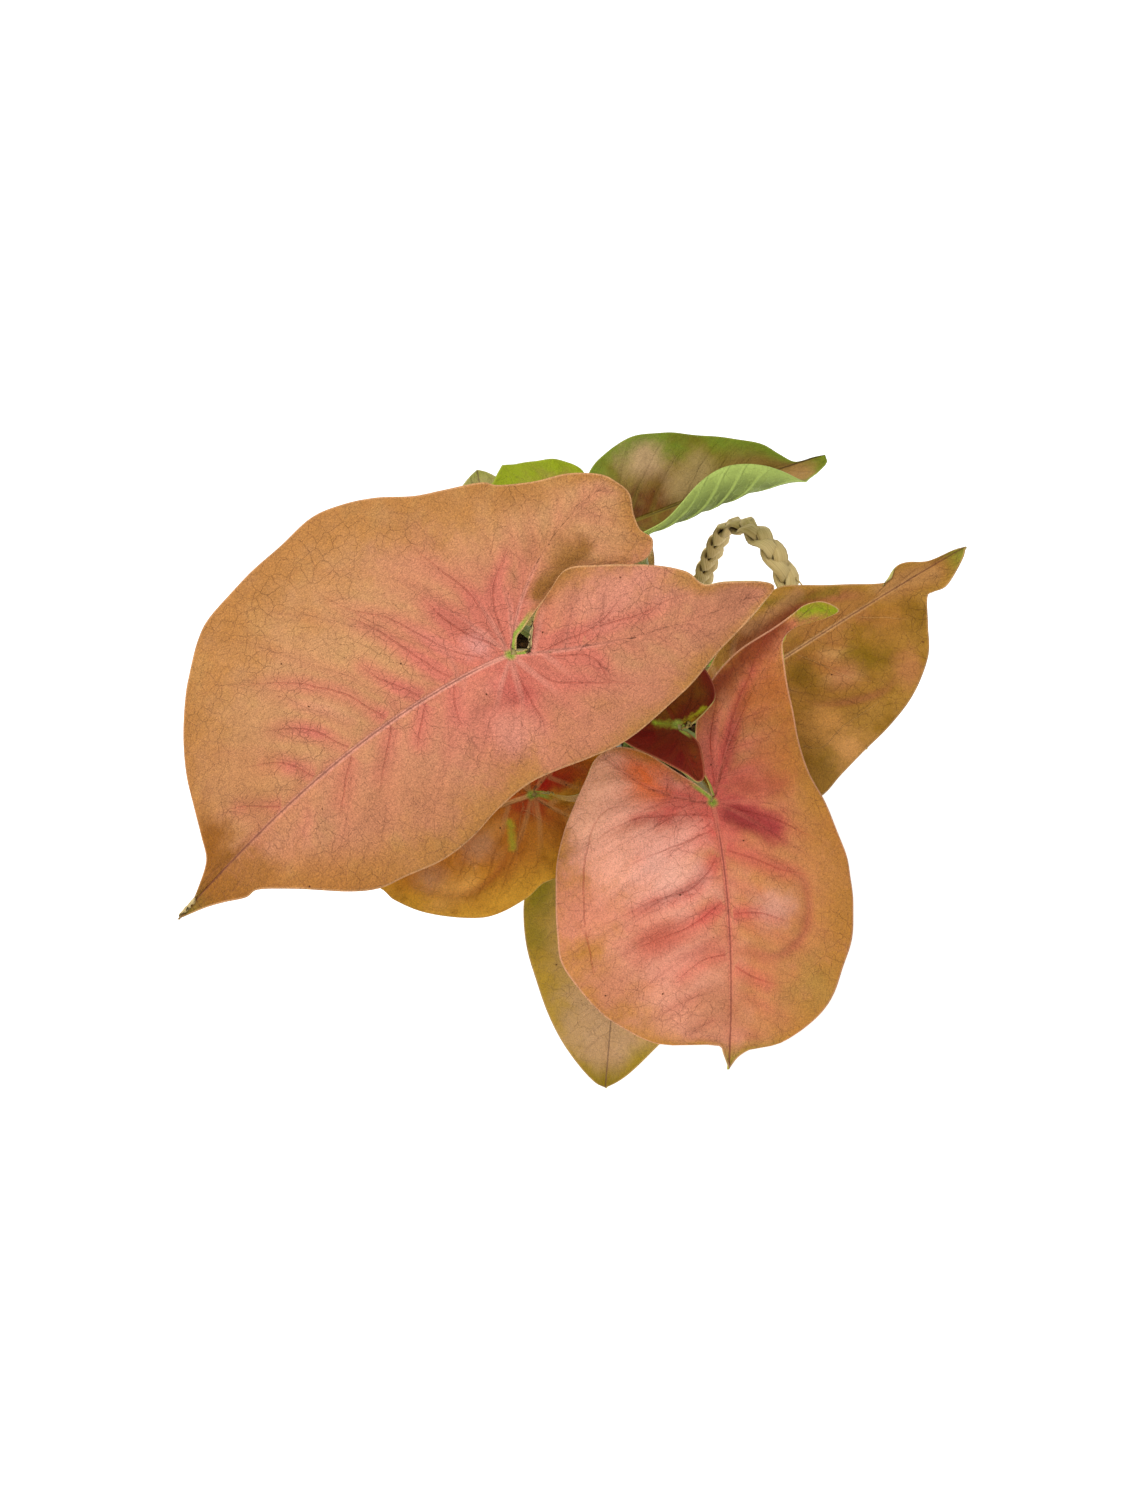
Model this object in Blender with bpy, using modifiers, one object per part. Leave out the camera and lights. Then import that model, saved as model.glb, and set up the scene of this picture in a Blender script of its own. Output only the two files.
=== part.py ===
"""A pink arrowhead plant in its nursery pot, set in a straw basket with two plaited handles.

Metres, +Z up. The origin is the middle of the basket's underside, and +X runs through both handles.
The plant is laid out as a grower would read it from the front: bearings in degrees round the plant,
0 to the right and 90 to the back, with the right handle at HANDLE_BEARING.
"""
from collections import namedtuple
from math import ceil, cos, pi, radians, sin, sqrt, tan, tau

import bmesh
import bpy
import numpy as np
from mathutils import Matrix

MM = 0.001
GAP = 0.3 * MM                 # between pieces that touch
WELD = 0.01 * MM               # points closer than this are one
CURVE_STEPS = 12               # steps of a smooth curve between two of its points
HANDLE_BEARING = 34.0          # degrees from the front view's right to the +X axis

# Basket
BASKET_HEIGHT = 92 * MM
BASKET_RIM = 61 * MM           # outer radius over the rolled border
BASKET_FOOT = 45 * MM          # outer radius at the base
BASKET_WALL = 4.5 * MM
BASKET_FLOOR = 4 * MM
BASKET_ROWS = 9                # rounds of straw up the wall
ROW_RELIEF = 1.6 * MM          # how far a round stands out over its seams
BORDER = 4 * MM                # radius of the rolled border
BORDER_PROUD = 2.4 * MM        # how far the border stands out over the wall
BASKET_FLARE = 0.75            # power of the flare: 1 is a straight cone, less is rounder
TURN_STEPS = 32

# Plaited handles
PLAIT_WIDTH = 9 * MM
PLAIT_DEPTH = 7 * MM
STRAND = 2.2 * MM              # half the thickness of one strand
PLAIT_PITCH = 27 * MM          # length in which a strand comes back to its side
PLAIT_RINGS_PER_PITCH = 7
PLAIT_SIDES = 10
HANDLE_LEAN = 10.0             # degrees outward from upright
LEG = 20 * MM                  # how far a handle's legs reach down outside the wall
LEG_TUCK = 3 * MM              # and how far they draw in with it
# Half of the loop's centre line, seen square on: sideways from its middle, up from the rim
HANDLE_LOOP = ((18, -20), (19, -6), (20, 6), (20, 22), (18.5, 37), (11, 48), (0, 52))

# Nursery pot and soil
POT_TOP = 49.5 * MM
POT_FOOT = 37 * MM
POT_HEIGHT = 80 * MM
POT_WALL = 1.2 * MM
POT_LIP = 2 * MM
DRAIN_HOLE = 1.8 * MM
DRAIN_HOLES = 5
DRAIN_RING = 24 * MM
SOIL_TOP = 77 * MM
SOIL_HEAP = 2.5 * MM           # how far the soil's middle stands over its edge
STEM_DEPTH = 28 * MM           # how deep a stem stands in its hole

# Stems and leaf stalks
STEM_RADIUS = 3.4 * MM
STEM_SIDES = 10
STALK_FOOT = 2.3 * MM          # radius of a leaf stalk where it leaves the stem
STALK_TOP = 1.4 * MM           # and under its blade
STALK_POINTS = 12
STALK_ROUNDING = 2             # bevel resolution of a stalk's tube
STALK_ROOT = 4                 # mm below the stem's top where the stalks start
STALK_SPREAD = 0.15            # share of its way out that a stalk has gone by the end of its rise
NECK = 2.5 * MM                # straight stretch of a stalk square to its blade
BLADE = 0.8 * MM               # blade thickness

# Blade grid: rows from the tip to the junction, rows round the lobe, columns from rib to margin
TIP_ROWS, LOBE_ROWS, COLUMNS = 7, 8, 3
ROWS_TURN = 0.3                # share of the length, from the junction, where the lobe's rows start
ROWS_CROWD = 0.85              # power that crowds the rows: under 1 brings them closer at the tip
CORNERS = 12.0                 # mm of outline that a radian of turning counts as, for the rows
SINUS = 3.0                    # mm from the junction back to the bottom of the notch
LOBE_REACH = 0.5               # share of the length behind the junction where a lobe has its lift
LOBE_BEND = 1.5                # power of that lift
WAVES = 11.0                   # radians of margin wave along a leaf's length
WAVE_SHIFT = 2.1               # radians between the waves of the two halves

Stem = namedtuple("Stem", "name bearing reach top")
Leaf = namedtuple(
    "Leaf",
    "name stem bearing reach height heading pitch roll length left right colour"
    " fold curl droop lobes wave rise lean sweep",
    defaults=(0,),
)


def arrow(length, width, lobe, spread=0.55):
    """One half of a plain arrowhead outline in mm, (along, across) from the tip's shoulder back
    to the inside of the lobe: width at the widest, lobe as its length behind the junction."""
    return (
        (length * 0.80, width * 0.24),
        (length * 0.55, width * 0.66),
        (length * 0.28, width * 0.95),
        (0, width),
        (-lobe * 0.55, width * 0.92),
        (-lobe * 0.95, width * (spread + 0.12)),
        (-lobe * 0.92, width * (spread - 0.18)),
        (-lobe * 0.45, width * 0.12),
    )


PINK = (0.62, 0.25, 0.16)
ROSE = (0.66, 0.22, 0.14)
TAN = (0.52, 0.28, 0.10)
OLIVE = (0.34, 0.27, 0.08)
LIME = (0.36, 0.42, 0.06)
GREEN = (0.16, 0.26, 0.05)

STEMS = (
    Stem("stem_left", -149, 17.5, 87),
    Stem("stem_front", -47, 19, 88),
    Stem("stem_right", 32, 19, 86),
    Stem("stem_back", 121, 17.5, 87),
)

# Heights, reaches and outlines in mm, angles in degrees. heading is where the tip points, pitch
# how far it hangs, roll raises the left half. fold is the V at the midrib, curl the arch of the
# left and right halves (radians per mm, down is positive), droop the arch along the midrib in
# front of and behind the junction (radians), lobes the lift of the left and right lobe tips, wave
# the height of the waved margin. rise, lean and sweep shape the stalk: how far it climbs upright
# from the stem, and how far it reaches down square from the blade and forward under it.
LEAVES = (
    Leaf("leaf_top", "stem_left", -128, 39, 219, -149, 27, -12, 132,
         ((105, 9), (93, 16), (75, 29), (56, 35), (38, 34), (21, 32), (-1, 37), (-15, 40),
          (-35, 38), (-56, 35), (-69, 32), (-60, 19), (-45, 3), (-28, -8), (-11, -3)),
         ((114, 9), (104, 28), (92, 45), (76, 59), (60, 65), (41, 67), (20, 66), (-12, 51),
          (-43, 32), (-53, 20), (-53, 8), (-47, 0), (-38, 0), (-25, 4), (-11, 5)),
         PINK, 4, (0.014, 0.003), (0.10, 0.10), (4, -4), 1.0, 75, 45),
    Leaf("leaf_front", "stem_front", -60, 69.5, 177, -85, 30, 0, 83,
         ((77, 6), (75, 16), (68, 27), (55, 35), (38, 41), (18, 39), (-1, 33), (-16, 27),
          (-31, 24), (-44, 24), (-57, 32), (-56, 27), (-46, 16), (-38, 3), (-20, -4)),
         ((77, 3), (76, 14), (73, 26), (60, 39), (45, 47), (27, 50), (8, 48), (-7, 40),
          (-20, 33), (-27, 24), (-24, 14), (-13, 6)),
         ROSE, 3, (0.008, 0.006), (0.15, 0.10), (4, -3), 1.0, 60, 45),
    Leaf("leaf_right", "stem_front", -22, 47.5, 160, 32, -5, 0, 87,
         ((77, 0), (72, 3), (65, 2), (55, 5), (42, 13), (30, 21), (14, 17), (0, 12), (-9, 6)),
         ((71, 9), (66, 9), (59, 20), (51, 27), (34, 35), (15, 42), (0, 43), (-14, 38),
          (-24, 28), (-24, 16), (-13, 6)),
         TAN, 5, (0.006, 0.008), (0.12, 0.10), (0, 0), 1.0, 55, 35),
    Leaf("leaf_back_right", "stem_right", 74, 43, 157, 23, 4, 0, 71,
         ((63, 0), (55, 8), (45, 14), (33, 19), (25, 24), (16, 27), (5, 27), (-5, 22),
          (-12, 12), (-9, 5)),
         ((62, 7), (52, 22), (38, 32), (20, 36), (4, 34), (-10, 27), (-16, 16), (-10, 6)),
         OLIVE, 2, (0.004, -0.10), (0.08, 0.10), (0, 0), 0.6, 50, 30, 14),
    Leaf("leaf_back", "stem_back", 111, 38, 169, 176, 4, 0, 50,
         arrow(50, 19, 11), arrow(50, 22, 12), LIME, 5, (0.010, 0.010), (0.2, 0.1), (0, 0), 0.6, 62, 30),
    Leaf("leaf_back_left", "stem_back", 150, 34, 153, 100, 0, 0, 47,
         arrow(47, 15, 12), arrow(47, 15, 12), OLIVE, 5, (0.010, 0.010), (0.2, 0.1), (0, 0), 0.6, 50, 25),
    Leaf("leaf_left_low", "stem_left", -110, 55.5, 160, -162, 13, 0, 64,
         ((54, 11), (41, 24), (24, 31), (7, 30), (-9, 27), (-20, 19), (-22, 11), (-12, 4)),
         arrow(64, 30, 22), TAN, 5, (0.008, 0.008), (0.15, 0.1), (0, 0), 0.8, 50, 30),
    Leaf("leaf_centre", "stem_front", -64, 48, 197, 118, 6, 0, 54,
         arrow(54, 20, 4), arrow(54, 13, 4), TAN, 5, (0.008, 0.008), (0.1, 0.1), (0, 0), 0.6, 60, 18, 22),
    Leaf("leaf_front_low", "stem_front", -73, 42, 116, -95, 34, 0, 101,
         ((95, 9), (86, 18), (70, 26), (48, 30), (20, 31), (0, 27), (-9, 18), (-8, 8)),
         ((91, 12), (73, 24), (48, 31), (34, 32), (15, 32), (0, 27), (-9, 18), (-8, 8)),
         OLIVE, 6, (0.010, 0.010), (0.15, 0.1), (0, 0), 0.8, 22, 20),
    Leaf("leaf_inner", "stem_right", 2, 38, 138, 76, -5, 0, 28,
         arrow(28, 11, 6), arrow(28, 11, 6), GREEN, 6, (0.010, 0.010), (0.1, 0.1), (0, 0), 0.5, 30, 18),
    Leaf("leaf_left", "stem_left", 173, 50, 147, 158, 12, 8, 72,
         arrow(72, 28, 12), arrow(72, 25, 8), TAN, 5, (0.010, 0.010), (0.2, 0.1), (0, 0), 0.8, 45, 25),
    Leaf("leaf_back_low", "stem_back", 120, 45, 124, 132, 28, 0, 56,
         arrow(56, 24, 14), arrow(56, 24, 14), OLIVE, 5, (0.010, 0.010), (0.2, 0.1), (0, 0), 0.8, 24, 24),
    Leaf("leaf_right_low", "stem_right", -20, 49, 118, 4, 24, 0, 54,
         arrow(54, 22, 13), arrow(54, 21, 13), TAN, 5, (0.010, 0.010), (0.2, 0.1), (0, 0), 0.8, 20, 26),
    Leaf("leaf_rear_low", "stem_back", 84, 46, 118, 92, 24, 0, 48,
         arrow(48, 21, 13), arrow(48, 17, 13), OLIVE, 5, (0.010, 0.010), (0.2, 0.1), (0, 0), 0.8, 22, 24),
)


def clear_scene():
    """Start from an empty scene."""
    for old in list(bpy.data.objects):
        bpy.data.objects.remove(old)


def new_collection(name):
    """A collection linked to the scene."""
    group = bpy.data.collections.new(name)
    bpy.context.scene.collection.children.link(group)
    return group


def finish(name, colour, roughness, metallic=0.0):
    """A plain Principled material."""
    mat = bpy.data.materials.new(name)
    mat.use_nodes = True
    shader = mat.node_tree.nodes["Principled BSDF"]
    shader.inputs["Base Color"].default_value = (*colour, 1)
    shader.inputs["Roughness"].default_value = roughness
    shader.inputs["Metallic"].default_value = metallic
    return mat


def add_object(name, mesh, group, mat=None, smooth=40):
    """An object for a mesh, shaded smooth up to the given angle."""
    obj = bpy.data.objects.new(name, mesh)
    group.objects.link(obj)
    if mat:
        mesh.materials.append(mat)
    mesh.shade_smooth()
    mesh.set_sharp_from_angle(angle=radians(smooth))
    return obj


def spline(points, count):
    """A smooth curve through the points (Catmull-Rom), count steps to each span."""
    pts = np.asarray(points, float)
    pts = np.vstack([2 * pts[0] - pts[1], pts, 2 * pts[-1] - pts[-2]])
    t = np.linspace(0, 1, count, endpoint=False)[:, None]
    spans = []
    for a, b, c, d in zip(pts, pts[1:], pts[2:], pts[3:]):
        spans.append(0.5 * (2 * b + (c - a) * t + (2 * a - 5 * b + 4 * c - d) * t**2
                            + (3 * b - a - 3 * c + d) * t**3))
    return np.vstack(spans + [pts[-2][None]])


def resample(path, count, corners=0.0):
    """The same path with count points spaced evenly along it, closer where it turns: each radian
    of turning counts as a further length of corners."""
    step = np.diff(path, axis=0)
    length = np.linalg.norm(step, axis=1)
    facing = step / np.maximum(length, 1e-9)[:, None]
    turn = np.arccos(np.clip((facing[1:] * facing[:-1]).sum(axis=1), -1, 1))
    length[1:] += corners * turn
    run = np.concatenate([[0], np.cumsum(length)])
    want = np.linspace(0, run[-1], count)
    return np.stack([np.interp(want, run, column) for column in path.T], axis=1)


def on_bearing(bearing, reach):
    """The point at a front-view bearing and a distance from the axis, in the model's frame."""
    turn = radians(bearing - HANDLE_BEARING)
    return reach * cos(turn), reach * sin(turn)


def leaf_axes(leaf):
    """Forward, left and up of a leaf: its heading and pitch, then its roll about the midrib."""
    course, pitch, roll = (radians(a) for a in (leaf.heading - HANDLE_BEARING, leaf.pitch, leaf.roll))
    forward = np.array([cos(pitch) * cos(course), cos(pitch) * sin(course), -sin(pitch)])
    side = np.array([-sin(course), cos(course), 0.0])
    lift = np.cross(forward, side)
    return forward, side * cos(roll) + lift * sin(roll), lift * cos(roll) - side * sin(roll)


def half_outline(leaf, half):
    """(rib, margin) of one half in flat mm, row by row from the tip to the notch: each row runs
    from the midrib out to the margin, and the rows of the lobe fan out from the junction."""
    knots = [(leaf.length, 0), *half, (-SINUS, 0)]
    edge = spline(knots, CURVE_STEPS)
    lead = ROWS_TURN * leaf.length
    turn = int(np.argmax(edge[:, 0] <= lead))
    share = np.linspace(1, 0, TIP_ROWS + 1) ** ROWS_CROWD
    rib = share * leaf.length
    along = lead + share * (leaf.length - lead)
    front = np.stack([along, np.interp(-along, -edge[:turn + 1, 0], edge[:turn + 1, 1])], axis=1)
    front[0] = leaf.length, 0
    lobe = resample(edge[turn:], LOBE_ROWS + 1, CORNERS)
    lobe[0] = front[-1]
    rib = np.concatenate([rib, np.zeros(LOBE_ROWS)])
    return np.stack([rib, 0 * rib], axis=1), np.vstack([front, lobe[1:]])


def bend_half(leaf, side, flat, t):
    """Bends flat points (along, out from the midrib) of one half into the leaf's own space.

    Across: the slope starts at fold and falls by curl for each mm, so the half is an arc.
    Along: the midrib's slope turns from -droop at the junction to droop at the tip, a second arc.
    Lobes lift with how far they lie behind the junction, and the margin waves."""
    along, out = flat[..., 0], flat[..., 1]
    curl = leaf.curl[side]
    fold = radians(leaf.fold)
    across = (sin(fold) - np.sin(fold - curl * out)) / curl
    height = (np.cos(fold - curl * out) - cos(fold)) / curl
    back = np.clip(-along, 0, None) / leaf.length
    height = height + leaf.lobes[side] * (back / LOBE_REACH) ** LOBE_BEND
    height = height + leaf.wave * t**2 * np.sin(along / leaf.length * WAVES + side * WAVE_SHIFT)
    grid = np.linspace(along.min(), along.max(), 200)
    share = grid / leaf.length
    slope = np.where(grid > 0, leaf.droop[0], leaf.droop[1]) * 2 * share - leaf.droop[0]
    step = grid[1] - grid[0]
    run = np.cumsum(np.cos(slope)) * step
    sink = -np.cumsum(np.sin(slope)) * step
    run -= np.interp(0, grid, run)
    sink -= np.interp(0, grid, sink)
    lean = np.interp(along, grid, slope)
    x = np.interp(along, grid, run) + height * np.sin(lean)
    z = np.interp(along, grid, sink) + height * np.cos(lean)
    return np.stack([x, across if side == 0 else -across, z], axis=-1)


def blade_grid(leaf, side):
    """World positions of one half of a blade, rows by columns."""
    rib, edge = half_outline(leaf, (leaf.left, leaf.right)[side])
    t = np.linspace(0, 1, COLUMNS + 1)[None, :]
    flat = rib[:, None] * (1 - t[..., None]) + edge[:, None] * t[..., None]
    local = bend_half(leaf, side, flat, t)
    forward, left, up = leaf_axes(leaf)
    x, y = on_bearing(leaf.bearing, leaf.reach)
    place = np.array([x, y, leaf.height])
    return (place + local[..., :1] * forward + local[..., 1:2] * left + local[..., 2:] * up) * MM


def build_blade(leaf, group):
    """A blade: both halves as one triangulated sheet, thickened."""
    bm = bmesh.new()
    for side in (0, 1):
        grid = blade_grid(leaf, side)
        verts = [[bm.verts.new(p) for p in row] for row in grid]
        for low, high in zip(verts, verts[1:]):
            for a, b, c, d in zip(low, low[1:], high[1:], high):
                bm.faces.new((a, b, c, d) if side else (d, c, b, a))
    bmesh.ops.remove_doubles(bm, verts=bm.verts, dist=WELD)
    bmesh.ops.triangulate(bm, faces=bm.faces)
    mesh = bpy.data.meshes.new(leaf.name)
    bm.to_mesh(mesh)
    bm.free()
    obj = add_object(leaf.name, mesh, group, finish(leaf.name, leaf.colour, 0.45), 60)
    solid = obj.modifiers.new("thickness", "SOLIDIFY")
    solid.thickness = BLADE
    solid.offset = 0
    return obj


def stalk_path(leaf, stem):
    """A leaf stalk from inside its stem up to a short straight neck just under the junction."""
    x, y = on_bearing(leaf.bearing, leaf.reach)
    forward, _, up = leaf_axes(leaf)
    end = np.array([x, y, leaf.height]) * MM - up * (BLADE / 2 + GAP)
    neck = end - up * NECK
    start = np.array([*on_bearing(stem.bearing, stem.reach), stem.top - STALK_ROOT]) * MM
    outward = (neck - start) * (1, 1, 0)
    pull = start + np.array([0, 0, leaf.rise * MM]) + outward * STALK_SPREAD
    settle = neck + (forward * leaf.sweep - up * leaf.lean) * MM
    t = np.linspace(0, 1, STALK_POINTS - 1)[:, None]
    bow = start * (1 - t)**3 + 3 * pull * t * (1 - t)**2 + 3 * settle * t**2 * (1 - t) + neck * t**3
    return np.vstack([bow, end])


def tube(name, path, radii, rounding, group):
    """A capped tube along a path, as a welded mesh."""
    curve = bpy.data.curves.new(name, "CURVE")
    curve.dimensions = "3D"
    curve.bevel_depth = 1.0
    curve.bevel_resolution = rounding
    curve.use_fill_caps = True
    line = curve.splines.new("POLY")
    line.points.add(len(path) - 1)
    for point, place, radius in zip(line.points, path, radii):
        point.co = (*place, 1)
        point.radius = radius
    drawn = bpy.data.objects.new(name, curve)
    group.objects.link(drawn)
    bpy.context.view_layer.update()
    mesh = bpy.data.meshes.new_from_object(drawn.evaluated_get(bpy.context.evaluated_depsgraph_get()))
    bpy.data.objects.remove(drawn)
    bm = bmesh.new()
    bm.from_mesh(mesh)
    bmesh.ops.remove_doubles(bm, verts=bm.verts, dist=WELD)
    bm.to_mesh(mesh)
    bm.free()
    return add_object(name, mesh, group)


def cylinder(name, x, y, radius, bottom, top, sides, group):
    """An upright cylinder between two heights."""
    bm = bmesh.new()
    bmesh.ops.create_cone(bm, cap_ends=True, segments=sides, radius1=radius, radius2=radius,
                          depth=top - bottom, matrix=Matrix.Translation((x, y, (top + bottom) / 2)))
    mesh = bpy.data.meshes.new(name)
    bm.to_mesh(mesh)
    bm.free()
    return add_object(name, mesh, group)


def stem_cylinder(name, stem, radius, bottom, top, group):
    """An upright cylinder on a stem's axis."""
    x, y = on_bearing(stem.bearing, stem.reach)
    return cylinder(name, x * MM, y * MM, radius, bottom, top, STEM_SIDES, group)


def apply_boolean(target, cutters, operation):
    """Applies one Boolean of a whole collection to the target and removes that collection."""
    cut = target.modifiers.new(operation.lower(), "BOOLEAN")
    cut.operation = operation
    cut.operand_type = "COLLECTION"
    cut.collection = cutters
    cut.solver = "EXACT"
    bpy.context.view_layer.update()
    depsgraph = bpy.context.evaluated_depsgraph_get()
    mesh = bpy.data.meshes.new_from_object(target.evaluated_get(depsgraph))
    target.modifiers.clear()
    target.data = mesh
    for obj in list(cutters.objects):
        bpy.data.objects.remove(obj)
    bpy.data.collections.remove(cutters)


def build_stem(stem, group, mat):
    """A short stem with the stalks of its leaves grown into it."""
    bottom = SOIL_TOP - STEM_DEPTH
    trunk = stem_cylinder(stem.name, stem, STEM_RADIUS, bottom, stem.top * MM, group)
    stalks = new_collection(stem.name + "_stalks")
    for leaf in LEAVES:
        if leaf.stem != stem.name:
            continue
        radii = np.linspace(STALK_FOOT, STALK_TOP, STALK_POINTS)
        tube(leaf.name + "_stalk", stalk_path(leaf, stem), radii, STALK_ROUNDING, stalks)
    apply_boolean(trunk, stalks, "UNION")
    trunk.data.materials.clear()
    trunk.data.materials.append(mat)
    trunk.data.shade_smooth()
    return trunk


def turned(name, profile, steps, group, mat):
    """A closed turned solid from a profile of (radius, height) that ends on the axis."""
    mesh = bpy.data.meshes.new(name)
    mesh.from_pydata([(r, 0, z) for r, z in profile], [(i, i + 1) for i in range(len(profile) - 1)], [])
    obj = add_object(name, mesh, group, mat, 30)
    screw = obj.modifiers.new("turn", "SCREW")
    screw.steps = screw.render_steps = steps
    screw.use_merge_vertices = True
    screw.merge_threshold = 0.00005
    return obj


def basket_radius(height):
    """Outer radius of the basket's wall at a height: it flares from the foot and rounds up."""
    share = height / BASKET_HEIGHT
    return BASKET_FOOT + (BASKET_RIM - BORDER_PROUD - BASKET_FOOT) * share**BASKET_FLARE


def build_basket(group):
    """The basket: rounds of straw up a flared wall, a rolled border and a flat floor."""
    wall_top = BASKET_HEIGHT - 2 * BORDER
    inner_foot = basket_radius(BASKET_FLOOR) - BASKET_WALL
    border_mid = BASKET_RIM - BORDER
    profile = [(0, BASKET_FLOOR), (inner_foot, BASKET_FLOOR)]
    profile += [(basket_radius(z) - BASKET_WALL, z) for z in (0.5 * wall_top, wall_top)]
    for degree in range(210, -31, -40):
        turn = radians(degree)
        profile.append((border_mid + BORDER * cos(turn), wall_top + BORDER + BORDER * sin(turn)))
    for row in range(BASKET_ROWS, 0, -1):
        seam = wall_top * row / BASKET_ROWS
        crest = wall_top * (row - 0.5) / BASKET_ROWS
        if row < BASKET_ROWS:
            profile.append((basket_radius(seam) - ROW_RELIEF, seam))
        profile.append((basket_radius(crest), crest))
    profile += [(BASKET_FOOT - 2 * ROW_RELIEF, 0), (0, 0)]
    return turned("basket", profile, TURN_STEPS, group, finish("straw", (0.50, 0.38, 0.20), 0.8))


def loop_path(count):
    """The right handle's centre line: up outside the rim, over and down again."""
    half = spline(HANDLE_LOOP, CURVE_STEPS) * MM
    whole = np.vstack([half, (half * (-1, 1))[-2::-1]])
    flat = resample(whole, count)
    side, up = flat.T
    start = sqrt(BASKET_RIM**2 - (HANDLE_LOOP[1][0] * MM)**2) + GAP + PLAIT_DEPTH / 2
    lean = np.clip(up, 0, None) * tan(radians(HANDLE_LEAN))
    out = start + lean - LEG_TUCK * (np.clip(up, None, 0) / LEG)**2
    return np.stack([out, side, BASKET_HEIGHT + up], axis=1)


def plait_section(run):
    """Outline of the plait's cross-section at a length along it: the reach, in each direction, of
    three strands that cross over each other, each on its own third of the pitch."""
    around = np.arange(PLAIT_SIDES) / PLAIT_SIDES * tau
    ray = np.stack([np.cos(around), np.sin(around)], axis=1)
    phase = tau * run / PLAIT_PITCH + np.arange(3) * tau / 3
    wide = (PLAIT_WIDTH / 2 - STRAND) * np.sin(phase)
    deep = (PLAIT_DEPTH / 2 - STRAND) * np.sin(2 * phase)
    reach = np.max(ray @ np.stack([wide, deep]), axis=1) + STRAND
    return ray * reach[:, None]


def build_handle(name, turn, group, mat):
    """A plaited handle: the three-strand section carried along the loop, turned about the axis."""
    length = np.linalg.norm(np.diff(loop_path(200), axis=0), axis=1).sum()
    count = ceil(length / PLAIT_PITCH * PLAIT_RINGS_PER_PITCH)
    path = loop_path(count)
    tangent = np.gradient(path, axis=0)
    tangent /= np.linalg.norm(tangent, axis=1)[:, None]
    outward = np.array([cos(radians(HANDLE_LEAN)), 0, -sin(radians(HANDLE_LEAN))])
    across = np.cross(outward, tangent)
    across /= np.linalg.norm(across, axis=1)[:, None]
    deep = np.cross(tangent, across)
    bm = bmesh.new()
    rings = []
    for i, place in enumerate(path):
        section = plait_section(length * i / (count - 1))
        rings.append([bm.verts.new(place + across[i] * w + deep[i] * d) for w, d in section])
    for low, high in zip(rings, rings[1:]):
        for k in range(PLAIT_SIDES):
            nxt = (k + 1) % PLAIT_SIDES
            bm.faces.new((low[k], low[nxt], high[nxt], high[k]))
    bm.faces.new(rings[0][::-1])
    bm.faces.new(rings[-1])
    bmesh.ops.triangulate(bm, faces=bm.faces)
    bmesh.ops.recalc_face_normals(bm, faces=bm.faces)
    mesh = bpy.data.meshes.new(name)
    bm.to_mesh(mesh)
    bm.free()
    obj = add_object(name, mesh, group, mat, 50)
    obj.rotation_euler.z = turn
    return obj


def build_pot(group):
    """The nursery pot: a thin tapered cup with a lip and drain holes, standing on the floor."""
    foot = BASKET_FLOOR + GAP
    top = foot + POT_HEIGHT
    under_lip = top - 2 * POT_LIP
    profile = [(0, foot + POT_WALL), (POT_FOOT - POT_WALL, foot + POT_WALL), (POT_TOP - POT_WALL, top),
               (POT_TOP + POT_LIP, top), (POT_TOP + POT_LIP, under_lip), (POT_TOP, under_lip),
               (POT_FOOT, foot), (0, foot)]
    pot = turned("nursery_pot", profile, TURN_STEPS, group, finish("pot_plastic", (0.05, 0.05, 0.05), 0.5))
    holes = new_collection("drain_cutters")
    for k in range(DRAIN_HOLES):
        turn = tau * k / DRAIN_HOLES
        cylinder("drain", DRAIN_RING * cos(turn), DRAIN_RING * sin(turn), DRAIN_HOLE,
                 foot - POT_WALL, foot + 3 * POT_WALL, 10, holes)
    apply_boolean(pot, holes, "DIFFERENCE")
    return pot


def build_soil(group):
    """The soil: fills the pot up to SOIL_TOP, heaped a little, with a hole for each stem. Level
    gaps are a fifth wider than GAP, because the pot's wall and the faceted stems are not square."""
    foot = BASKET_FLOOR + POT_WALL + 2 * GAP
    level_gap = 1.2 * GAP

    def pot_inside(height):
        share = (height - foot + GAP) / (POT_HEIGHT - POT_WALL)
        return POT_FOOT - POT_WALL + (POT_TOP - POT_FOOT) * share - level_gap

    crown = SOIL_TOP + SOIL_HEAP
    shoulder = SOIL_TOP - SOIL_HEAP
    profile = [(0, crown), (POT_TOP * 0.45, crown - 0.2 * SOIL_HEAP), (POT_TOP * 0.75, SOIL_TOP),
               (pot_inside(shoulder), shoulder), (pot_inside(foot), foot), (0, foot)]
    soil = turned("soil", profile, TURN_STEPS, group, finish("potting_soil", (0.05, 0.03, 0.02), 0.95))
    holes = new_collection("stem_cutters")
    bottom = SOIL_TOP - STEM_DEPTH - GAP
    for stem in STEMS:
        stem_cylinder("hole", stem, STEM_RADIUS + level_gap, bottom, crown + STEM_RADIUS, holes)
    apply_boolean(soil, holes, "DIFFERENCE")
    return soil


def main():
    """Builds every piece into one collection."""
    clear_scene()
    plant = new_collection("arrowhead_plant")
    build_basket(plant)
    straw = finish("plaited_straw", (0.48, 0.38, 0.21), 0.75)
    build_handle("handle_right", 0, plant, straw)
    build_handle("handle_left", pi, plant, straw)
    build_pot(plant)
    build_soil(plant)
    stalk_green = finish("leaf_stalk", (0.30, 0.36, 0.12), 0.45)
    for stem in STEMS:
        build_stem(stem, plant, stalk_green)
    for leaf in LEAVES:
        build_blade(leaf, plant)


main()
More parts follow.
